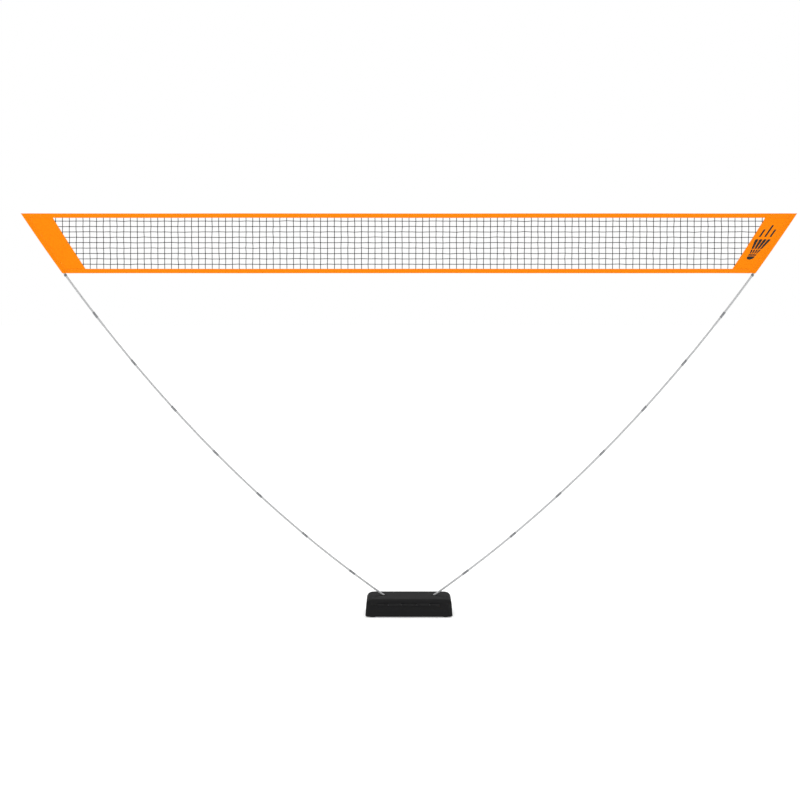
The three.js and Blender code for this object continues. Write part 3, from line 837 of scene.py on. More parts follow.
def add_strand(path, points, values, faces):
    """Adds a strand along a path to the lists. Its ends are pressed flat in the hems."""
    path = np.asarray(path)
    near, far = hem_points(path), hem_points(path[::-1])[::-1]
    path = np.vstack([path[:1], near, path[1:-1], far, path[-1:]])
    start = len(points)
    twist = 2 * math.pi / TWIST_PITCH
    run = 0.0
    for i, p in enumerate(path):
        ahead = path[min(i + 1, len(path) - 1)] - path[max(i - 1, 0)]
        ahead /= np.linalg.norm(ahead)
        side_way = np.cross(ahead, (0, 1, 0))
        side_way /= np.linalg.norm(side_way)
        other = np.cross(ahead, side_way)
        radius = STRAND_RADIUS if 1 < i < len(path) - 2 else PRESSED_RADIUS
        if i:
            run += np.linalg.norm(p - path[i - 1])
        for a in around(STRAND_SIDES):
            points.append(p + radius * (math.cos(a) * side_way + math.sin(a) * other))
            values.append((run * twist / 20, a / 20, 0))
    faces += capped_faces(len(path), STRAND_SIDES, start)


def halved(path, rng):
    """The path with a point between each two, slightly off the straight line."""
    out = [path[0]]
    for a, b in zip(path, path[1:]):
        off = np.array([rng.gauss(0, spread) for spread in STRAND_OFF])
        out += [(a + b) / 2 + off, b]
    return out


GOLDEN = (1 + math.sqrt(5)) / 2
KNOT_POINTS = np.array(
    [(0, a, b * GOLDEN) for a in (-1, 1) for b in (-1, 1)]
    + [(a, b * GOLDEN, 0) for a in (-1, 1) for b in (-1, 1)]
    + [(b * GOLDEN, 0, a) for a in (-1, 1) for b in (-1, 1)]
) / math.hypot(1, GOLDEN)


def knot_faces():
    """The twenty faces of an icosahedron on KNOT_POINTS."""
    edge = min(np.linalg.norm(KNOT_POINTS[0] - p) for p in KNOT_POINTS[1:]) + 1e-6

    def near(a, b):
        return np.linalg.norm(KNOT_POINTS[a] - KNOT_POINTS[b]) < edge

    corners = range(len(KNOT_POINTS))
    found = []
    for a, b, c in ((a, b, c) for a in corners for b in corners[a + 1 :] for c in corners[b + 1 :]):
        if near(a, b) and near(b, c) and near(a, c):
            normal = np.cross(KNOT_POINTS[b] - KNOT_POINTS[a], KNOT_POINTS[c] - KNOT_POINTS[a])
            found.append((a, b, c) if normal @ KNOT_POINTS[a] > 0 else (a, c, b))
    return found


KNOT_FACES = knot_faces()


def add_knot(place, rng, points, values, faces):
    start = len(points)
    size = np.array(KNOT_SIZE) * rng.uniform(0.92, 1.1)
    turn = np.array(Matrix.Rotation(rng.uniform(0, math.pi), 3, "Y"))
    for p in KNOT_POINTS:
        points.append(place + turn @ (p * size))
        values.append((p[0] * 0.3, p[1] * 0.3, 0))
    faces += [(a + start, b + start, c + start) for a, b, c in KNOT_FACES]


def place_knots(columns, heights, rng):
    """Where the cords cross, each a little off its place, by column and row."""
    knots = {}
    for i, x in enumerate(columns):
        for k, z in enumerate(heights):
            if abs(x) < inner_edge_x(z, KNOT_CLEARANCE):
                off = np.array([rng.gauss(0, spread) for spread in KNOT_OFF])
                knots[i, k] = np.array((x, ripple(x, z), z)) + off
    return knots


def upright_end(x, bottom, top):
    """The low end of an upright cord: in the bottom tape's hem, or in a side band's."""
    if abs(x) < inner_edge_x(bottom, -LEVEL_HEM):
        return np.array((x, ripple(x, NET_BOTTOM), bottom))
    low = next(z for z in np.arange(bottom, top, 1.0) if abs(x) < inner_edge_x(z, -UPRIGHT_HEM))
    return np.array((x, 0.0, low))


def netting():
    """Knotted square netting: upright and level cords that meet in knots, each a little uneven."""
    rng = random.Random(SEED)
    heights = [NET_TOP - FIRST_STRAND - MESH_HIGH * k for k in range(STRANDS_DOWN)]
    count = int(2 * inner_edge_x(NET_TOP - TAPE_HEIGHT, -LEVEL_HEM) // MESH_WIDE)
    columns = [MESH_WIDE * (i - (count - 1) / 2) for i in range(count)]
    top, bottom = NET_TOP - TAPE_HEIGHT + HEM, NET_BOTTOM + TAPE_HEIGHT - HEM
    knots = place_knots(columns, heights, rng)
    points, values, faces = [], [], []
    for i, x in enumerate(columns):
        path = [np.array((x, ripple(x, NET_TOP), top))]
        path += [knots[i, k] for k in range(STRANDS_DOWN) if (i, k) in knots]
        path.append(upright_end(x, bottom, top))
        if np.linalg.norm(path[0] - path[-1]) > 2:
            add_strand(halved(path, rng), points, values, faces)
    for k, z in enumerate(heights):
        end = inner_edge_x(z, -LEVEL_HEM)
        row = [knots[i, k] for i in range(count) if (i, k) in knots]
        path = [np.array((-end, 0.0, z)), *row, np.array((end, 0.0, z))]
        add_strand(halved(path, rng), points, values, faces)
    for place in knots.values():
        add_knot(place, rng, points, values, faces)
    mesh = mesh_of("netting", points, faces, "strand", values)
    return keep("netting", facing_out(mesh), "lid", NET_CORD, ["net_mesh"], angle=80)


netting()


# ---- Tapes and bands --------------------------------------------------------------------

CLOTH_THICKNESS = 0.75
TAPE_GAP = 0.8  # between the tape's two layers, where the cords' ends lie
TAPE_OPENS = 0.75  # how much wider the gap is where the tape reaches over a band
TAPE_OPENS_AT = 4.0  # middle of the widening, from the band's inner edge
TAPE_OPENS_OVER = 14.0
TAPE_SAG = 0.35
TAPE_END = 15.0  # the tapes reach over the bands, up to this far from the pole
TAPE_STEP = 7.0
EDGE_STITCH = 2.4  # from a tape's free edge to its stitches
FOLD_STITCH = 3.4  # from its fold to the other row
STITCH_DENT = 0.12
SEAM = 12.5  # the line of stitches beside the sleeve
SLEEVE = 5.9  # the cloth's outer radius round the pole
SLEEVE_OPENS = math.radians(38)
BAND_HEM = 3.4  # from a band's inner edge to its stitches
BAND_ROWS = 60
BAND_STEPS = (58, 50, 42, 34, 27, 20)  # across the flat panel
BAND_EDGE = 0.4  # the bands stop this far inside the net's top and bottom
SLEEVE_CLOSES = 4.0  # under the net's top
PANEL_GAP = 0.5  # between the band's two layers
PANEL_OFF = PANEL_GAP + CLOTH_THICKNESS
TAPES = ((NET_TOP, -1), (NET_BOTTOM, 1))  # the fold's height, and the way to the free edges


def mirrored(half):
    """The other side's half of an outline, back to where it began."""
    return [(across, -off) for across, off in reversed(half)]


def folded_strip(name, rows, section, place, node):
    """A strip of cloth folded over lengthwise. section(i) gives the outer and the inner line of
    row i's section, as points of (across, off), and place(i, across, off) puts one in space."""
    points, values = [], []
    for i in range(rows):
        outer, inner = section(i)
        loop = outer + inner[::-1]
        run = 0.0
        for j, (across, off) in enumerate(loop):
            if j:
                run += math.dist(loop[j], loop[j - 1])
            p = place(i, across, off)
            points.append(p)
            values.append(((p[0] + 0.2 * p[1]) * MM, p[2] * MM, run * MM))
    columns = len(points) // rows
    faces = grid_faces(rows, columns, wrap_columns=True)
    for first, flip in ((0, False), ((rows - 1) * columns, True)):
        for j in range(columns // 2 - 1):
            a, b = first + j, first + j + 1
            c, d = first + columns - 2 - j, first + columns - 1 - j
            faces.append((a, b, c, d) if flip else (d, c, b, a))
    mesh = facing_out(mesh_of(name, points, faces, "cloth", values))
    return keep(name, mesh, "lid", CLOTH, [node], angle=60)


def tape_section(depth, gap):
    """A tape folded over an edge: down one side, round the fold and up the other.
    across runs from the fold (0) to the free edges (depth)."""
    off = gap + CLOTH_THICKNESS
    turn = off + 0.6  # where the fold's curve begins
    levels = [depth, depth - 0.5, depth - EDGE_STITCH, depth * 0.6, depth * 0.3, turn]
    dents = [0.12, 0.0, 0.22, 0.0, 0.0, 0.0]  # rounded edge, and the stitch line pulled in
    inner_dents = [0.0, 0.0, 0.11 if gap > 0.6 else 0.0, 0.0, 0.0, 0.0]
    outer = [(v, dent - off) for v, dent in zip(levels, dents)]
    inner = [(v, dent - gap) for v, dent in zip(levels, inner_dents)]
    fold = [math.radians(a) for a in (-60, -30, 0, 30, 60)]
    outer_fold = [(turn - (off + 0.5) * math.cos(a), off * math.sin(a)) for a in fold]
    inner_fold = [(turn - gap * math.cos(a) * 0.9, gap * math.sin(a)) for a in fold]
    return outer + outer_fold + mirrored(outer), inner + inner_fold + mirrored(inner)


def tape_gap(x, edge):
    """Half the room between a tape's layers: more where it reaches over a side band."""
    past = np.abs(x) - inner_edge_x(edge, TAPE_OPENS_AT)
    return TAPE_GAP + TAPE_OPENS * np.clip(past / TAPE_OPENS_OVER + 0.5, 0, 1)


def tape_lift(x, share):
    """How far a tape stands in from its straight edge. share is 1 at its end."""
    sag = 0.5 * np.sin(x / 211.0 + 1.3) + 0.25 * np.sin(x / 83.0)
    return TAPE_SAG * (1 + sag) * (1 - np.abs(share) ** 12)


def tape(name, edge, towards, node):
    """The top or bottom tape, from its fold's height and the way to its free edges."""
    half_length = x_at_height(edge, TAPE_END)
    rows = int(2 * half_length / TAPE_STEP)
    shares = [2 * i / (rows - 1) - 1 for i in range(rows)]

    def section(i):
        return tape_section(TAPE_HEIGHT, tape_gap(shares[i] * half_length, edge))

    def place(i, across, off):
        z = edge + towards * across
        x = shares[i] * x_at_height(np.clip(z, NET_BOTTOM, NET_TOP), TAPE_END)
        return (x, off + ripple(x, edge), z + towards * tape_lift(x, shares[i]))

    piece = folded_strip(name, rows, section, place, node)
    return piece


def band_section(t):
    """The band's outer and inner line at a height t from 0, at the bottom, to 1, at the top."""
    height = NET_BOTTOM + t * (NET_TOP - NET_BOTTOM)
    above = height - (NET_TOP - SLEEVE_CLOSES)
    closing = np.clip(above / SLEEVE_CLOSES, 0, 1)  # sewn flat over the pole's tip
    wide = SLEEVE + 0.6 * closing
    thick = SLEEVE * (1 - closing) + (PANEL_OFF + 0.1) * closing
    thin = max(thick - CLOTH_THICKNESS, PANEL_GAP)
    width = band_width(t)
    flat = [width, width - 0.5, width - BAND_HEM, width - 8, width - 12, *BAND_STEPS]
    outer = [(v, -PANEL_OFF) for v in flat]
    outer[0] = (width, 0.3 - PANEL_OFF)
    outer[2] = (width - BAND_HEM, 0.15 - PANEL_OFF)
    outer += [(SEAM + 2.2, -PANEL_OFF), (SEAM, 0.25 - PANEL_OFF), (SEAM - 1.8, -PANEL_OFF)]
    inner = [(v, -PANEL_GAP) for v in flat]
    inner += [(SEAM + 2.2, -PANEL_GAP), (SEAM, -PANEL_GAP * 0.5), (SEAM - 1.8, -PANEL_GAP)]
    for a in np.linspace(SLEEVE_OPENS, math.pi, 9):  # from the seam to the outermost point
        outer.append((wide * math.cos(a), -thick * math.sin(a)))
        inner.append(((wide - CLOTH_THICKNESS) * math.cos(a), -thin * math.sin(a)))
    return outer + mirrored(outer[:-1]), inner + mirrored(inner[:-1])


def band_point(sign, t, across, off):
    """A point of a band: t from its bottom to its top edge, across from the pole's line."""
    low = along_at_height(NET_BOTTOM + BAND_EDGE, across)
    high = along_at_height(NET_TOP - BAND_EDGE, across)
    s = low + t * (high - low)
    x, z = pole_xz(s, across)
    width = band_width(t)
    loose = np.clip((across - SEAM) / 18, 0, 1) * np.clip((width + 3 - across) / 14, 0, 1)
    drape = 0.9 * math.sin(s / 31.0 + across / 40.0) + 0.5 * math.sin(s / 13.0 - across / 21.0 + 1.0)
    pucker = 0.35 * math.sin(s / 3.4) * math.exp(-(((across - SEAM - 2) / 6) ** 2))
    hem = 0.25 * math.sin(s / 4.1 + 1) * math.exp(-(((across - width + 5) / 6) ** 2))
    shift = loose * drape * math.sin(math.pi * np.clip(t, 0.02, 0.98)) ** 0.6 + pucker + hem
    return (sign * x, off + shift, z)


def side_band(name, sign):
    def section(i):
        return band_section(i / (BAND_ROWS - 1))

    def place(i, across, off):
        return band_point(sign, i / (BAND_ROWS - 1), across, off)

    piece = folded_strip(f"band_{name}", BAND_ROWS, section, place, f"side_band_{name}")


tape("top_tape_cloth", *TAPES[0], "top_tape")
tape("bottom_tape_cloth", *TAPES[1], "bottom_tape")
for side_name, side in SIDES:
    side_band(side_name, side)


# ---- Stitches ---------------------------------------------------------------------------

STITCH_PITCH = 5.0
STITCH_LENGTH = 3.7
STITCH_RADIUS = 0.32
STITCH_SIDES = 5
STITCH_SHAPE = ((0, -0.25, 0.6), (0.2, 0.1, 1.0), (0.8, 0.1, 1.0), (1, -0.25, 0.6))


def add_stitch(start, end, normal, points, faces):
    """A short thread between two points that stands a little proud of the cloth."""
    ahead = end - start
    ahead /= np.linalg.norm(ahead)
    side_way = np.cross(ahead, normal)
    first = len(points)
    for share, lift, radius in STITCH_SHAPE:
        middle = start + share * (end - start) + lift * STITCH_RADIUS * normal
        for a in around(STITCH_SIDES):
            turned = math.cos(a) * side_way + math.sin(a) * normal
            points.append(middle + STITCH_RADIUS * radius * turned)
    faces += capped_faces(len(STITCH_SHAPE), STITCH_SIDES, first)


def stitch_row(path, facing, points, faces):
    """Stitches along a path, one after another, on the front (-1) or the back (1)."""
    path = np.asarray(path)
    lengths = np.concatenate([[0], np.cumsum(np.linalg.norm(np.diff(path, axis=0), axis=1))])

    def at(s):
        return np.array([np.interp(s, lengths, path[:, k]) for k in range(3)])

    for i in range(int(lengths[-1] / STITCH_PITCH)):
        s = (i + 0.15) * STITCH_PITCH
        add_stitch(at(s), at(s + STITCH_LENGTH), np.array((0.0, facing, 0.0)), points, faces)


def tape_stitches(edge, towards, facing, points, faces):
    """A row beside a tape's free edge and one beside its fold."""
    for across, dent in ((TAPE_HEIGHT - EDGE_STITCH, STITCH_DENT), (FOLD_STITCH, 0.0)):
        z = edge + towards * across
        end = x_at_height(z, TAPE_END) - 1.5
        x = np.linspace(-end, end, 420)
        off = facing * (tape_gap(x, edge) + CLOTH_THICKNESS - dent) + ripple(x, edge)
        path = np.stack([x, off, z + towards * tape_lift(x, x / end)], axis=1)
        stitch_row(path, facing, points, faces)


def band_stitches(sign, facing, points, faces):
    """A row beside the sleeve, one beside the inner edge, and tacks across the sleeve's corners."""
    off = facing * (PANEL_OFF - 0.15)
    for foot, head, low, high in (
        (SEAM, SEAM, 0.02, 0.98),
        (BAND_FOOT - BAND_HEM, BAND_HEAD - BAND_HEM, 0.09, 0.91),
    ):
        shares = np.linspace(low, high, 160)
        path = [band_point(sign, t, foot + (head - foot) * t, off) for t in shares]
        stitch_row(path, facing, points, faces)
    for t in (0.965, 0.035):
        acrosses = np.linspace(SEAM - 1, SEAM + 12, 12)
        path = [band_point(sign, t, across, facing * PANEL_OFF) for across in acrosses]
        stitch_row(path, facing, points, faces)


def stitching():
    points, faces = [], []
    for facing in (-1, 1):
        for edge, towards in TAPES:
            tape_stitches(edge, towards, facing, points, faces)
        for _, sign in SIDES:
            band_stitches(sign, facing, points, faces)
    mesh = facing_out(mesh_of("stitching", points, faces))
    keep("stitching", mesh, "lid", THREAD, angle=80)


stitching()


# ---- The print on the right band --------------------------------------------------------

PRINT_MIDDLE = 0.52  # of the band's height
PRINT_ACROSS = 46.0
PRINT_OFF = 0.20  # from the cloth
INK_THICKNESS = 0.09
PRINT_FACET = 5.0
FEATHERS = 4
SKIRT = (-53.0, 10.0)  # from the collar to the rim
COLLAR_HALF = 13.0
RIM_HALF = 26.0
FEATHER_GAP = 1.5
FEATHER_ROWS = ((SKIRT[0], -34.0, False), (-30.5, SKIRT[1], True))  # and if their ends are round
TRAILS = ((-17.0, 58.0), (0.0, 78.0), (17.0, 58.0))  # across, end
TRAIL_START = 26.0
TRAIL_HALF = 3.0


def arc(centre, radius, low, high, steps):
    """Points on an arc. Its angle runs from across to along."""
    return [
        (centre[0] + radius * math.sin(a), centre[1] - radius * math.cos(a))
        for a in np.linspace(low, high, steps)
    ]


def feather(low, high, start, end, rounded):
    """A stretch of a feather between two shares of the skirt's width, which grows outwards."""

    def sides_at(u):
        half = COLLAR_HALF + (RIM_HALF - COLLAR_HALF) * (u - SKIRT[0]) / (SKIRT[1] - SKIRT[0])
        return low * half + FEATHER_GAP, high * half - FEATHER_GAP

    near, far = sides_at(start), sides_at(end)
    shape = [(start, near[0]), (end, far[0])]
    if rounded:
        middle, radius = (far[0] + far[1]) / 2, (far[1] - far[0]) / 2
        shape += arc((end, middle), radius, 0.35, math.pi - 0.35, 6)
    return shape + [(end, far[1]), (start, near[1])]


def shuttlecock_outlines():
    """A plain flying shuttlecock with three trailing lines, as closed outlines of
    (along, across) in millimetres."""
    cork = arc((-70.0, 0), 11.5, math.pi, 2 * math.pi, 13)[::-1] + [(-66.0, 11.5), (-66.0, -11.5)]
    collar = [(-62.5, -12.0), (-56.5, -12.8), (-56.5, 12.8), (-62.5, 12.0)]
    shapes = [cork, collar]
    for i in range(FEATHERS):
        low, high = 2 * i / FEATHERS - 1, 2 * (i + 1) / FEATHERS - 1
        shapes += [feather(low, high, *row) for row in FEATHER_ROWS]
    for across, end in TRAILS:
        shapes.append(
            [(TRAIL_START, across - TRAIL_HALF), (end, across - TRAIL_HALF)]
            + arc((end, across), TRAIL_HALF, 0.4, math.pi - 0.4, 5)
            + [(end, across + TRAIL_HALF), (TRAIL_START, across + TRAIL_HALF)]
        )
    return shapes


def band_print(sign):
    """The sign as a thin film of ink that follows the cloth, on the side that faces front."""
    length = along_at_height(NET_TOP, PRINT_ACROSS) - along_at_height(NET_BOTTOM, PRINT_ACROSS)
    bm = bmesh.new()
    for outline in shuttlecock_outlines():
        bm.faces.new([bm.verts.new((u, v, 0)) for u, v in outline])
    bmesh.ops.triangulate(bm, faces=bm.faces[:])
    for _ in range(3):
        long_edges = [e for e in bm.edges if e.calc_length() > PRINT_FACET]
        bmesh.ops.subdivide_edges(bm, edges=long_edges, cuts=1, use_grid_fill=False)
        bmesh.ops.triangulate(bm, faces=bm.faces[:])
    values = []
    for v in bm.verts:
        t = PRINT_MIDDLE + v.co.x / length
        place = band_point(sign, t, PRINT_ACROSS + v.co.y, -(PANEL_OFF + PRINT_OFF))
        values.append((place[0] * MM, place[2] * MM, 0))
        v.co = Vector(place) * MM
    bmesh.ops.recalc_face_normals(bm, faces=bm.faces)
    for f in bm.faces:
        if f.normal.y > 0:
            f.normal_flip()
    mesh = bpy.data.meshes.new("band_print")
    bm.to_mesh(mesh)
    bm.free()
    store(mesh, "cloth", values)
    mesh = with_modifiers(mesh, ("SOLIDIFY", {"thickness": INK_THICKNESS * MM, "offset": 0}))
    keep("band_print", mesh, "lid", INK, angle=60)


band_print(1)


# ---- The case ---------------------------------------------------------------------------

CASE_LEAN_X = 5.0
CASE_LEAN_Y = 4.0
CASE_WALL = 3.0
END_ROUND = 20.0
LONG_ROUND = 9.0
CORNER_ROUND = 15.0
UNDER_ROUND = 5.0
PARTING = 50.0
PARTING_GAP = 0.5
LIP_HEIGHT = 3.0
LIP_WALL = 1.6
LIP_INSET = CASE_WALL + 0.4
LIP_ROOT = 4.0  # how far under the rim the lip's inside begins
CORNER_STEPS = 10

_, HINGE_Y, HINGE_Z = joint_mm("lid_hinge")
KNUCKLE_WIDTHS = (40, 50, 60, 50, 40)  # base, lid, base, lid, base
KNUCKLE_RADIUS = 3.6
KNUCKLE_GAP = 0.3
KNUCKLE_ROOM = 0.4
KNUCKLE_NOTCH = 2.6
WEB_HEIGHT = 6.0
WEB_ROOT = 1.5  # how far a web reaches into its wall
HINGE_BORE = 1.95
THROUGH = 400.0  # past the case on both sides


def half_at(height, half, lean):
    share = (height - CASE_FLOOR) / (CASE_TOP - CASE_FLOOR)
    return half - lean * share


def drawn_in(depth, radius):
    """How far a rounding draws a wall in, at a depth into its arc."""
    depth = np.clip(depth, 0, radius)
    return radius - math.sqrt(max(radius * radius - depth * depth, 0))


def case_ring(height, inset=0.0):
    """The case's outline at a height, moved in by inset: rounded towards the top and bottom."""
    top, foot = CASE_TOP - inset, CASE_FLOOR + inset
    end, long, under = (max(r - inset, 1.0) for r in (END_ROUND, LONG_ROUND, UNDER_ROUND))
    lift = drawn_in(foot + under - height, under)
    end_in = drawn_in(height - (top - end), end)
    long_in = drawn_in(height - (top - long), long)
    hx = half_at(height, CASE_HALF_LENGTH, CASE_LEAN_X) - inset - end_in - lift
    hy = half_at(height, CASE_HALF_DEPTH, CASE_LEAN_Y) - inset - long_in - lift
    corner = max(CORNER_ROUND - inset - 0.4 * (long_in + lift), 2.0)
    return [(x, y, height) for x, y in rounded_outline(hx, hy, corner, CORNER_STEPS)]


def loft(rings, name):
    """A closed solid through rings of points, with a flat cap at each end."""
    points = [p for ring in rings for p in ring]
    return facing_out(mesh_of(name, points, capped_faces(len(rings), len(rings[0]))))


def rounding(start, end, steps, upwards=True):
    """Heights that are close together where the rounding turns fastest."""
    turns = [math.pi / 2 * k / steps for k in range(steps + 1)]
    shares = [math.sin(a) if upwards else 1 - math.cos(a) for a in turns]
    return [start + (end - start) * share for share in shares]


def base_body():
    """The base's tray with its dust lip, as one loft: up the outside, over the rim, down the
    inside."""
    foot, floor = CASE_FLOOR, CASE_FLOOR + CASE_WALL
    inner = LIP_INSET + LIP_WALL
    outside = [case_ring(z) for z in rounding(foot, foot + UNDER_ROUND, 6, upwards=False)]
    outside += [case_ring(z) for z in (20, 35, PARTING)]
    rim = [
        case_ring(PARTING, LIP_INSET),
        case_ring(PARTING + LIP_HEIGHT, LIP_INSET),
        case_ring(PARTING + LIP_HEIGHT, inner),
        case_ring(PARTING - LIP_ROOT, inner),
        case_ring(PARTING - LIP_ROOT - LIP_WALL, CASE_WALL),
    ]
    inside_heights = [30, 15, *reversed(rounding(floor, floor + 2, 3, upwards=False))]
    inside = [case_ring(z, CASE_WALL) for z in inside_heights]
    return loft(outside + rim + inside, "case_base")


def lid_body():
    """The lid, an upturned tray with big rounded ends, as one loft: from the ceiling down the
    inside, then up the outside to the top."""
    low, top = PARTING + PARTING_GAP, CASE_TOP
    under = top - CASE_WALL
    inside_heights = [*reversed(rounding(under - END_ROUND + CASE_WALL, under, 8)), low]
    inside = [case_ring(z, CASE_WALL) for z in inside_heights]
    outside = [case_ring(z) for z in [low] + rounding(top - END_ROUND, top, 14)]
    return loft(inside + outside, "case_lid")


def bar_x(radius, from_x, to_x, y, z, sides=28):
    length = to_x - from_x
    profile = [(0, 0), (0, radius), (length, radius), (length, 0)]
    return lathe(profile, (from_x, y, z), (1, 0, 0), sides)


def knuckle_spans(first):
    """Where every other knuckle begins and ends along X."""
    ends = np.cumsum([0, *KNUCKLE_WIDTHS]) - sum(KNUCKLE_WIDTHS) / 2
    return list(zip(ends, ends[1:]))[first::2]


def knuckle_bars(first, radius, extra):
    spans = knuckle_spans(first)
    return [bar_x(radius, low - extra, high + extra, HINGE_Y, HINGE_Z) for low, high in spans]


def knuckle_webs(first, upwards):
    """What ties each knuckle to its shell's wall."""
    wall = -half_at(PARTING, CASE_HALF_DEPTH, CASE_LEAN_Y)
    way = 1 if upwards else -1
    near = PARTING + (PARTING_GAP if upwards else -0.2)
    far = PARTING + way * WEB_HEIGHT
    edge = [
        (wall + WEB_ROOT, near),
        (HINGE_Y, near),
        (HINGE_Y - 2.9, HINGE_Z + way * 2.1),
        (wall + 0.2, far),
        (wall + WEB_ROOT, far),
    ]
    spans = knuckle_spans(first)
    return [extruded(edge, 0, low + KNUCKLE_GAP, high - KNUCKLE_GAP) for low, high in spans]


def add_hinge(mesh, first, upwards):
    """A shell's own knuckles, room for the other shell's, and the bore for the pin."""
    for bar in knuckle_bars(first, KNUCKLE_RADIUS, -KNUCKLE_GAP) + knuckle_webs(first, upwards):
        mesh = cut(mesh, bar, "UNION")
    wall = -half_at(PARTING, CASE_HALF_DEPTH, CASE_LEAN_Y)
    for bar in knuckle_bars(1 - first, KNUCKLE_RADIUS + KNUCKLE_ROOM, KNUCKLE_GAP):
        outer_part = block((-THROUGH, -THROUGH, 0), (THROUGH, wall + KNUCKLE_NOTCH, 100))
        mesh = cut(mesh, cut(bar, outer_part, "INTERSECT"))
    return cut(mesh, bar_x(HINGE_BORE, -200, 200, HINGE_Y, HINGE_Z, 20))


def shell_piece(name, mesh, body, edge, node):
    mesh = bevelled(tidied(mesh), edge, 2, 50)
    keep(name, mesh, body, CASE_PLASTIC, [node], angle=40)


FEET = ("foot_front_left", "foot_front_right", "foot_rear_left", "foot_rear_right")
FOOT_SEAT = {"radius": 11.3, "top": 4.3}
POCKET_HALF = 66.0
POCKET_LOW = 9.5
POCKET_HIGH = 46.0
POCKET_DEPTH = 14.0
POCKET_ROUND = 3.0
POCKET_WALL = half_at(POCKET_LOW, CASE_HALF_DEPTH, CASE_LEAN_Y)
POCKET_BACK = POCKET_WALL - POCKET_DEPTH
_, HANDLE_Y, HANDLE_Z = joint_mm("handle_pivot")
HANDLE_HALF = 58.0
HANDLE_BORE = 2.25
LUG_HALF_HEIGHT = 5.0
LUG_BEYOND = 4.2


def handle_pocket(mesh):
    """The recess in the rear wall, the lugs at its ends, and the bore for the handle's pins."""
    housing = rounded_plate(
        (-POCKET_HALF - CASE_WALL, POCKET_BACK - CASE_WALL, CASE_FLOOR + 1),
        (POCKET_HALF + CASE_WALL, POCKET_WALL - 2.4, POCKET_HIGH + CASE_WALL),
        POCKET_ROUND + 1,
        1,
    )
    pocket = rounded_plate(
        (-POCKET_HALF, POCKET_BACK, POCKET_LOW),
        (POCKET_HALF, POCKET_WALL + 10, POCKET_HIGH),
        POCKET_ROUND,
        1,
    )
    mesh = cut(cut(mesh, housing, "UNION"), pocket)
    for _, sign in SIDES:
        near, far = sorted((sign * (HANDLE_HALF + 1), sign * (POCKET_HALF + 0.5)))
        low = (near, POCKET_BACK - 1, HANDLE_Z - LUG_HALF_HEIGHT)
        high = (far, HANDLE_Y + LUG_BEYOND, HANDLE_Z + LUG_HALF_HEIGHT)
        mesh = cut(mesh, rounded_plate(low, high, 2.0, 0), "UNION")
    reach = HANDLE_HALF + 6
    return cut(mesh, bar_x(HANDLE_BORE, -reach, reach, HANDLE_Y, HANDLE_Z, 20))


def base_shell():
    mesh = add_hinge(handle_pocket(base_body()), 0, False)
    radius, top = FOOT_SEAT["radius"], FOOT_SEAT["top"]
    for node in FEET:
        low, high = box_mm(node)
        centre = ((low[0] + high[0]) / 2, (low[1] + high[1]) / 2, 0)
        mesh = cut(mesh, lathe([(0, 0), (0, radius), (top, radius), (top, 0)], centre, (0, 0, 1), 40))
    shell_piece("case_base", mesh, "base", 0.45, "base_shell")


GROMMET_NECK = 8.2
GROMMET_FLANGE = 11.0
GROMMET_DEPTH = 2.6
GROMMET_SEAT = 0.3
OVAL_EXTRA = POLE_RADIUS * (1 / math.sin(LEAN_AT_EXIT) - 1)


def oval_ring(sign, half_width, height, sides=48, slant=0.0):
    """Points round a pole's exit. slant shifts the oval along the pole as the height grows."""
    middle = sign * (POLE_EXIT_X + slant * (height - CASE_TOP) / math.tan(LEAN_AT_EXIT))
    half_length = half_width + OVAL_EXTRA
    return [
        (middle + half_length * math.cos(a), half_width * math.sin(a), height) for a in around(sides)
    ]


LATCH_X, LATCH_Y, LATCH_Z = joint_mm("latch_right_pivot")
LATCH_HALF = 15.0
LATCH_BORE = 1.55
EAR_GAP = 0.5
EAR_WIDTH = 3.0
EAR_NOSE = ((1.0, -2.7), (2.3, -1.4), (2.7, 0.0), (2.3, 1.5), (1.2, 2.5))  # round the pivot
EAR_ROOT = 3.6


def latch_ears(mesh, sign):
    """The two ears that a latch turns between, and the bore for its pin."""
    wall = half_at(LATCH_Z, CASE_HALF_DEPTH, CASE_LEAN_Y)
    outline = [(wall - 2.5, LATCH_Z - EAR_ROOT)]
    outline += [(LATCH_Y + y, LATCH_Z + z) for y, z in EAR_NOSE]
    outline.append((wall - 2.5, LATCH_Z + EAR_ROOT))
    for ear_side in (-1, 1):
        near = sign * LATCH_X + ear_side * (LATCH_HALF + EAR_GAP)
        low, high = sorted((near, near + ear_side * EAR_WIDTH))
        mesh = cut(mesh, extruded(outline, 0, low, high), "UNION")
    reach = LATCH_HALF + 6
    middle = sign * LATCH_X
    return cut(mesh, bar_x(LATCH_BORE, middle - reach, middle + reach, LATCH_Y, LATCH_Z, 16))


def lid_shell():
    mesh = add_hinge(lid_body(), 1, True)
    for _, sign in SIDES:
        ends = (CASE_TOP - 10, CASE_TOP + 10)
        hole = loft([oval_ring(sign, GROMMET_NECK + GROMMET_SEAT, z) for z in ends], "hole")
        mesh = latch_ears(cut(mesh, hole), sign)
    shell_piece("case_lid", mesh, "lid", 0.4, "lid_shell")


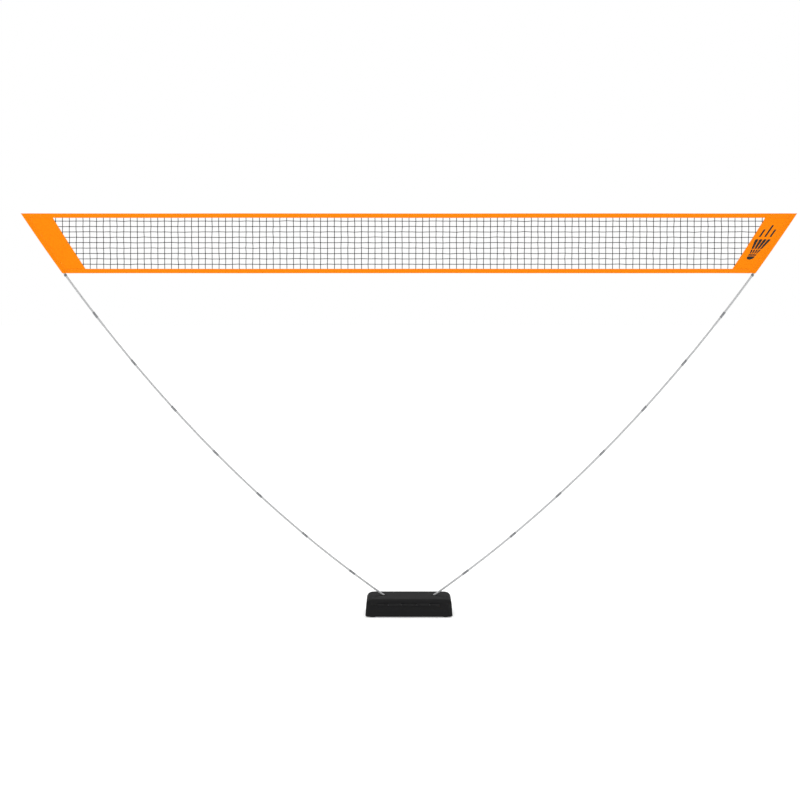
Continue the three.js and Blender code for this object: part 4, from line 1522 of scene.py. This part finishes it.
def grommet(name, sign):
    """A rubber ring with a rounded flange, and a slanting hole that fits the pole."""
    top, foot = CASE_TOP + GROMMET_SEAT, CASE_TOP - GROMMET_DEPTH
    sections = [  # half the width, the height, and if it follows the pole's slant
        (GROMMET_NECK, foot, 0),
        (GROMMET_NECK, top, 0),
        (GROMMET_FLANGE - 0.3, top, 0),
        (GROMMET_FLANGE, top + 0.4, 0),
        (GROMMET_FLANGE - 0.3, top + 0.9, 0),
        (GROMMET_FLANGE - 1.1, top + 1.25, 0),
        (GROMMET_FLANGE - 2.4, top + 1.4, 0),
        (POLE_RADIUS + 1.6, top + 1.4, 1),
        (POLE_RADIUS + 0.7, top + 1.1, 1),
        (POLE_RADIUS + 0.3, top + 0.4, 1),
        (POLE_RADIUS + 0.3, foot, 1),
    ]
    rings = [oval_ring(sign, half, height, 56, slant) for half, height, slant in sections]
    points = [p for ring in rings for p in ring]
    faces = grid_faces(len(rings), len(rings[0]), wrap_rows=True, wrap_columns=True)
    mesh = facing_out(mesh_of("grommet", points, faces))
    keep(f"grommet_ring_{name}", mesh, "lid", RUBBER, [f"grommet_{name}"], angle=45)


def foot(node):
    """A rubber pad with a rounded rim and a ring pressed into its underside."""
    low, high = box_mm(node)
    centre = ((low[0] + high[0]) / 2, (low[1] + high[1]) / 2, low[2])
    dimple = [(0.5, 0), (0.5, 3.4), (0.0, 4.0)]
    rim = [(0.0, 9.6), (0.25, 10.4), (0.8, 10.9), (3.2, 11.0), (4.0, 11.0)]
    mesh = lathe(dimple + rim + [(4.0, 0)], centre, (0, 0, 1), 48)
    keep(f"pad_{node}", mesh, "base", RUBBER, [node], angle=50)


def screw(name, place, normal, body, radius):
    """A pan-head screw with a cross recess."""
    profile = [(0, 0), (0, radius), (0.7, radius), (1.5, radius * 0.86), (2.0, radius * 0.5), (2.1, 0)]
    head = lathe(profile, place, normal, 24)
    turn = Vector(normal).normalized().to_track_quat("Z", "Y").to_matrix().to_4x4()
    for along, across in ((radius * 1.1, 0.45), (0.45, radius * 1.1)):
        recess = block((-along / 1.6, -across / 1.6, 1.0), (along / 1.6, across / 1.6, 3))
        recess.transform(Matrix.Translation(Vector(place) * MM) @ turn)
        head = cut(head, recess)
    keep(name, head, body, STEEL, angle=35)


def four_screws(prefix, xs, ys, z, normal, body, radius):
    for number, (x, y) in enumerate(((x, y) for x in xs for y in ys), 1):
        screw(f"{prefix}_{number}", (x, y, z), normal, body, radius)


WEIGHT_CORNER = 10.0
WEIGHT_SCREW_IN = 12.0  # from the plate's edges


def weight():
    """The steel plate on the case's floor, with the screws that hold it."""
    low, high = box_mm("weight_plate")
    mesh = bevelled(rounded_plate(low, high, WEIGHT_CORNER, 2, 8), 0.5, 2, 50)
    keep("weight_slab", mesh, "base", STEEL, ["weight_plate"], angle=40)
    xs, ys = ((low[k] + WEIGHT_SCREW_IN, high[k] - WEIGHT_SCREW_IN) for k in (0, 1))
    four_screws("weight_screw", xs, ys, high[2], (0, 0, 1), "base", 3.6)


def softened(node, width, segments, angle):
    """A CAD node's own shape with its flat faces merged and its edges rounded."""
    return bevelled(tidied(frame["nodes"][node].data.copy(), 2.0), width, segments, angle)


def trim(name, mesh, body, node):
    keep(name, mesh, body, TRIM_PLASTIC, [node], angle=40)


SOCKET_PLATE_INWARD = 14.0
SOCKET_SCREWS = (24.0, 11.5)  # from the plate's middle


def socket(name, sign):
    node = f"pole_socket_{name}"
    trim(f"socket_{name}", softened(node, 0.4, 3, 35), "lid", node)
    plate_x = sign * (POLE_EXIT_X - SOCKET_PLATE_INWARD)
    dx, dy = SOCKET_SCREWS
    z = box_mm(node)[1][2] - 3.0
    four_screws(
        f"socket_screw_{name}", (plate_x - dx, plate_x + dx), (-dy, dy), z, (0, 0, -1), "lid", 2.6
    )


def handle():
    trim("handle_bail", softened("carry_handle", 1.6, 4, 50), "handle", "carry_handle")


LATCH_RIBS = 3
RIB_FIRST = 3.0  # above the latch's foot
RIB_PITCH = 2.6
RIB_HALF_LENGTH = 10.0
RIB_HALF_HEIGHT = 0.6
RIB_PROUD = 0.15


def latch(name, sign):
    """The CAD's latch with rounded edges, and three ribs for the fingertip."""
    node = f"latch_{name}"
    mesh = softened(node, 0.5, 3, 40)
    low, high = box_mm(node)
    for i in range(LATCH_RIBS):
        x, z = sign * LATCH_X, low[2] + RIB_FIRST + RIB_PITCH * i
        foot_corner = (x - RIB_HALF_LENGTH, high[1] - 0.6, z - RIB_HALF_HEIGHT)
        head_corner = (x + RIB_HALF_LENGTH, high[1] + RIB_PROUD, z + RIB_HALF_HEIGHT)
        mesh = cut(mesh, rounded_plate(foot_corner, head_corner, 0.5, 1), "UNION")
    trim(f"latch_plate_{name}", mesh, node, node)


base_shell()
lid_shell()
handle()
weight()
for side_name, side in SIDES:
    grommet(side_name, side)
    socket(side_name, side)
    latch(side_name, side)
for foot_node in FEET:
    foot(foot_node)
dress("hinge_pin", STEEL)
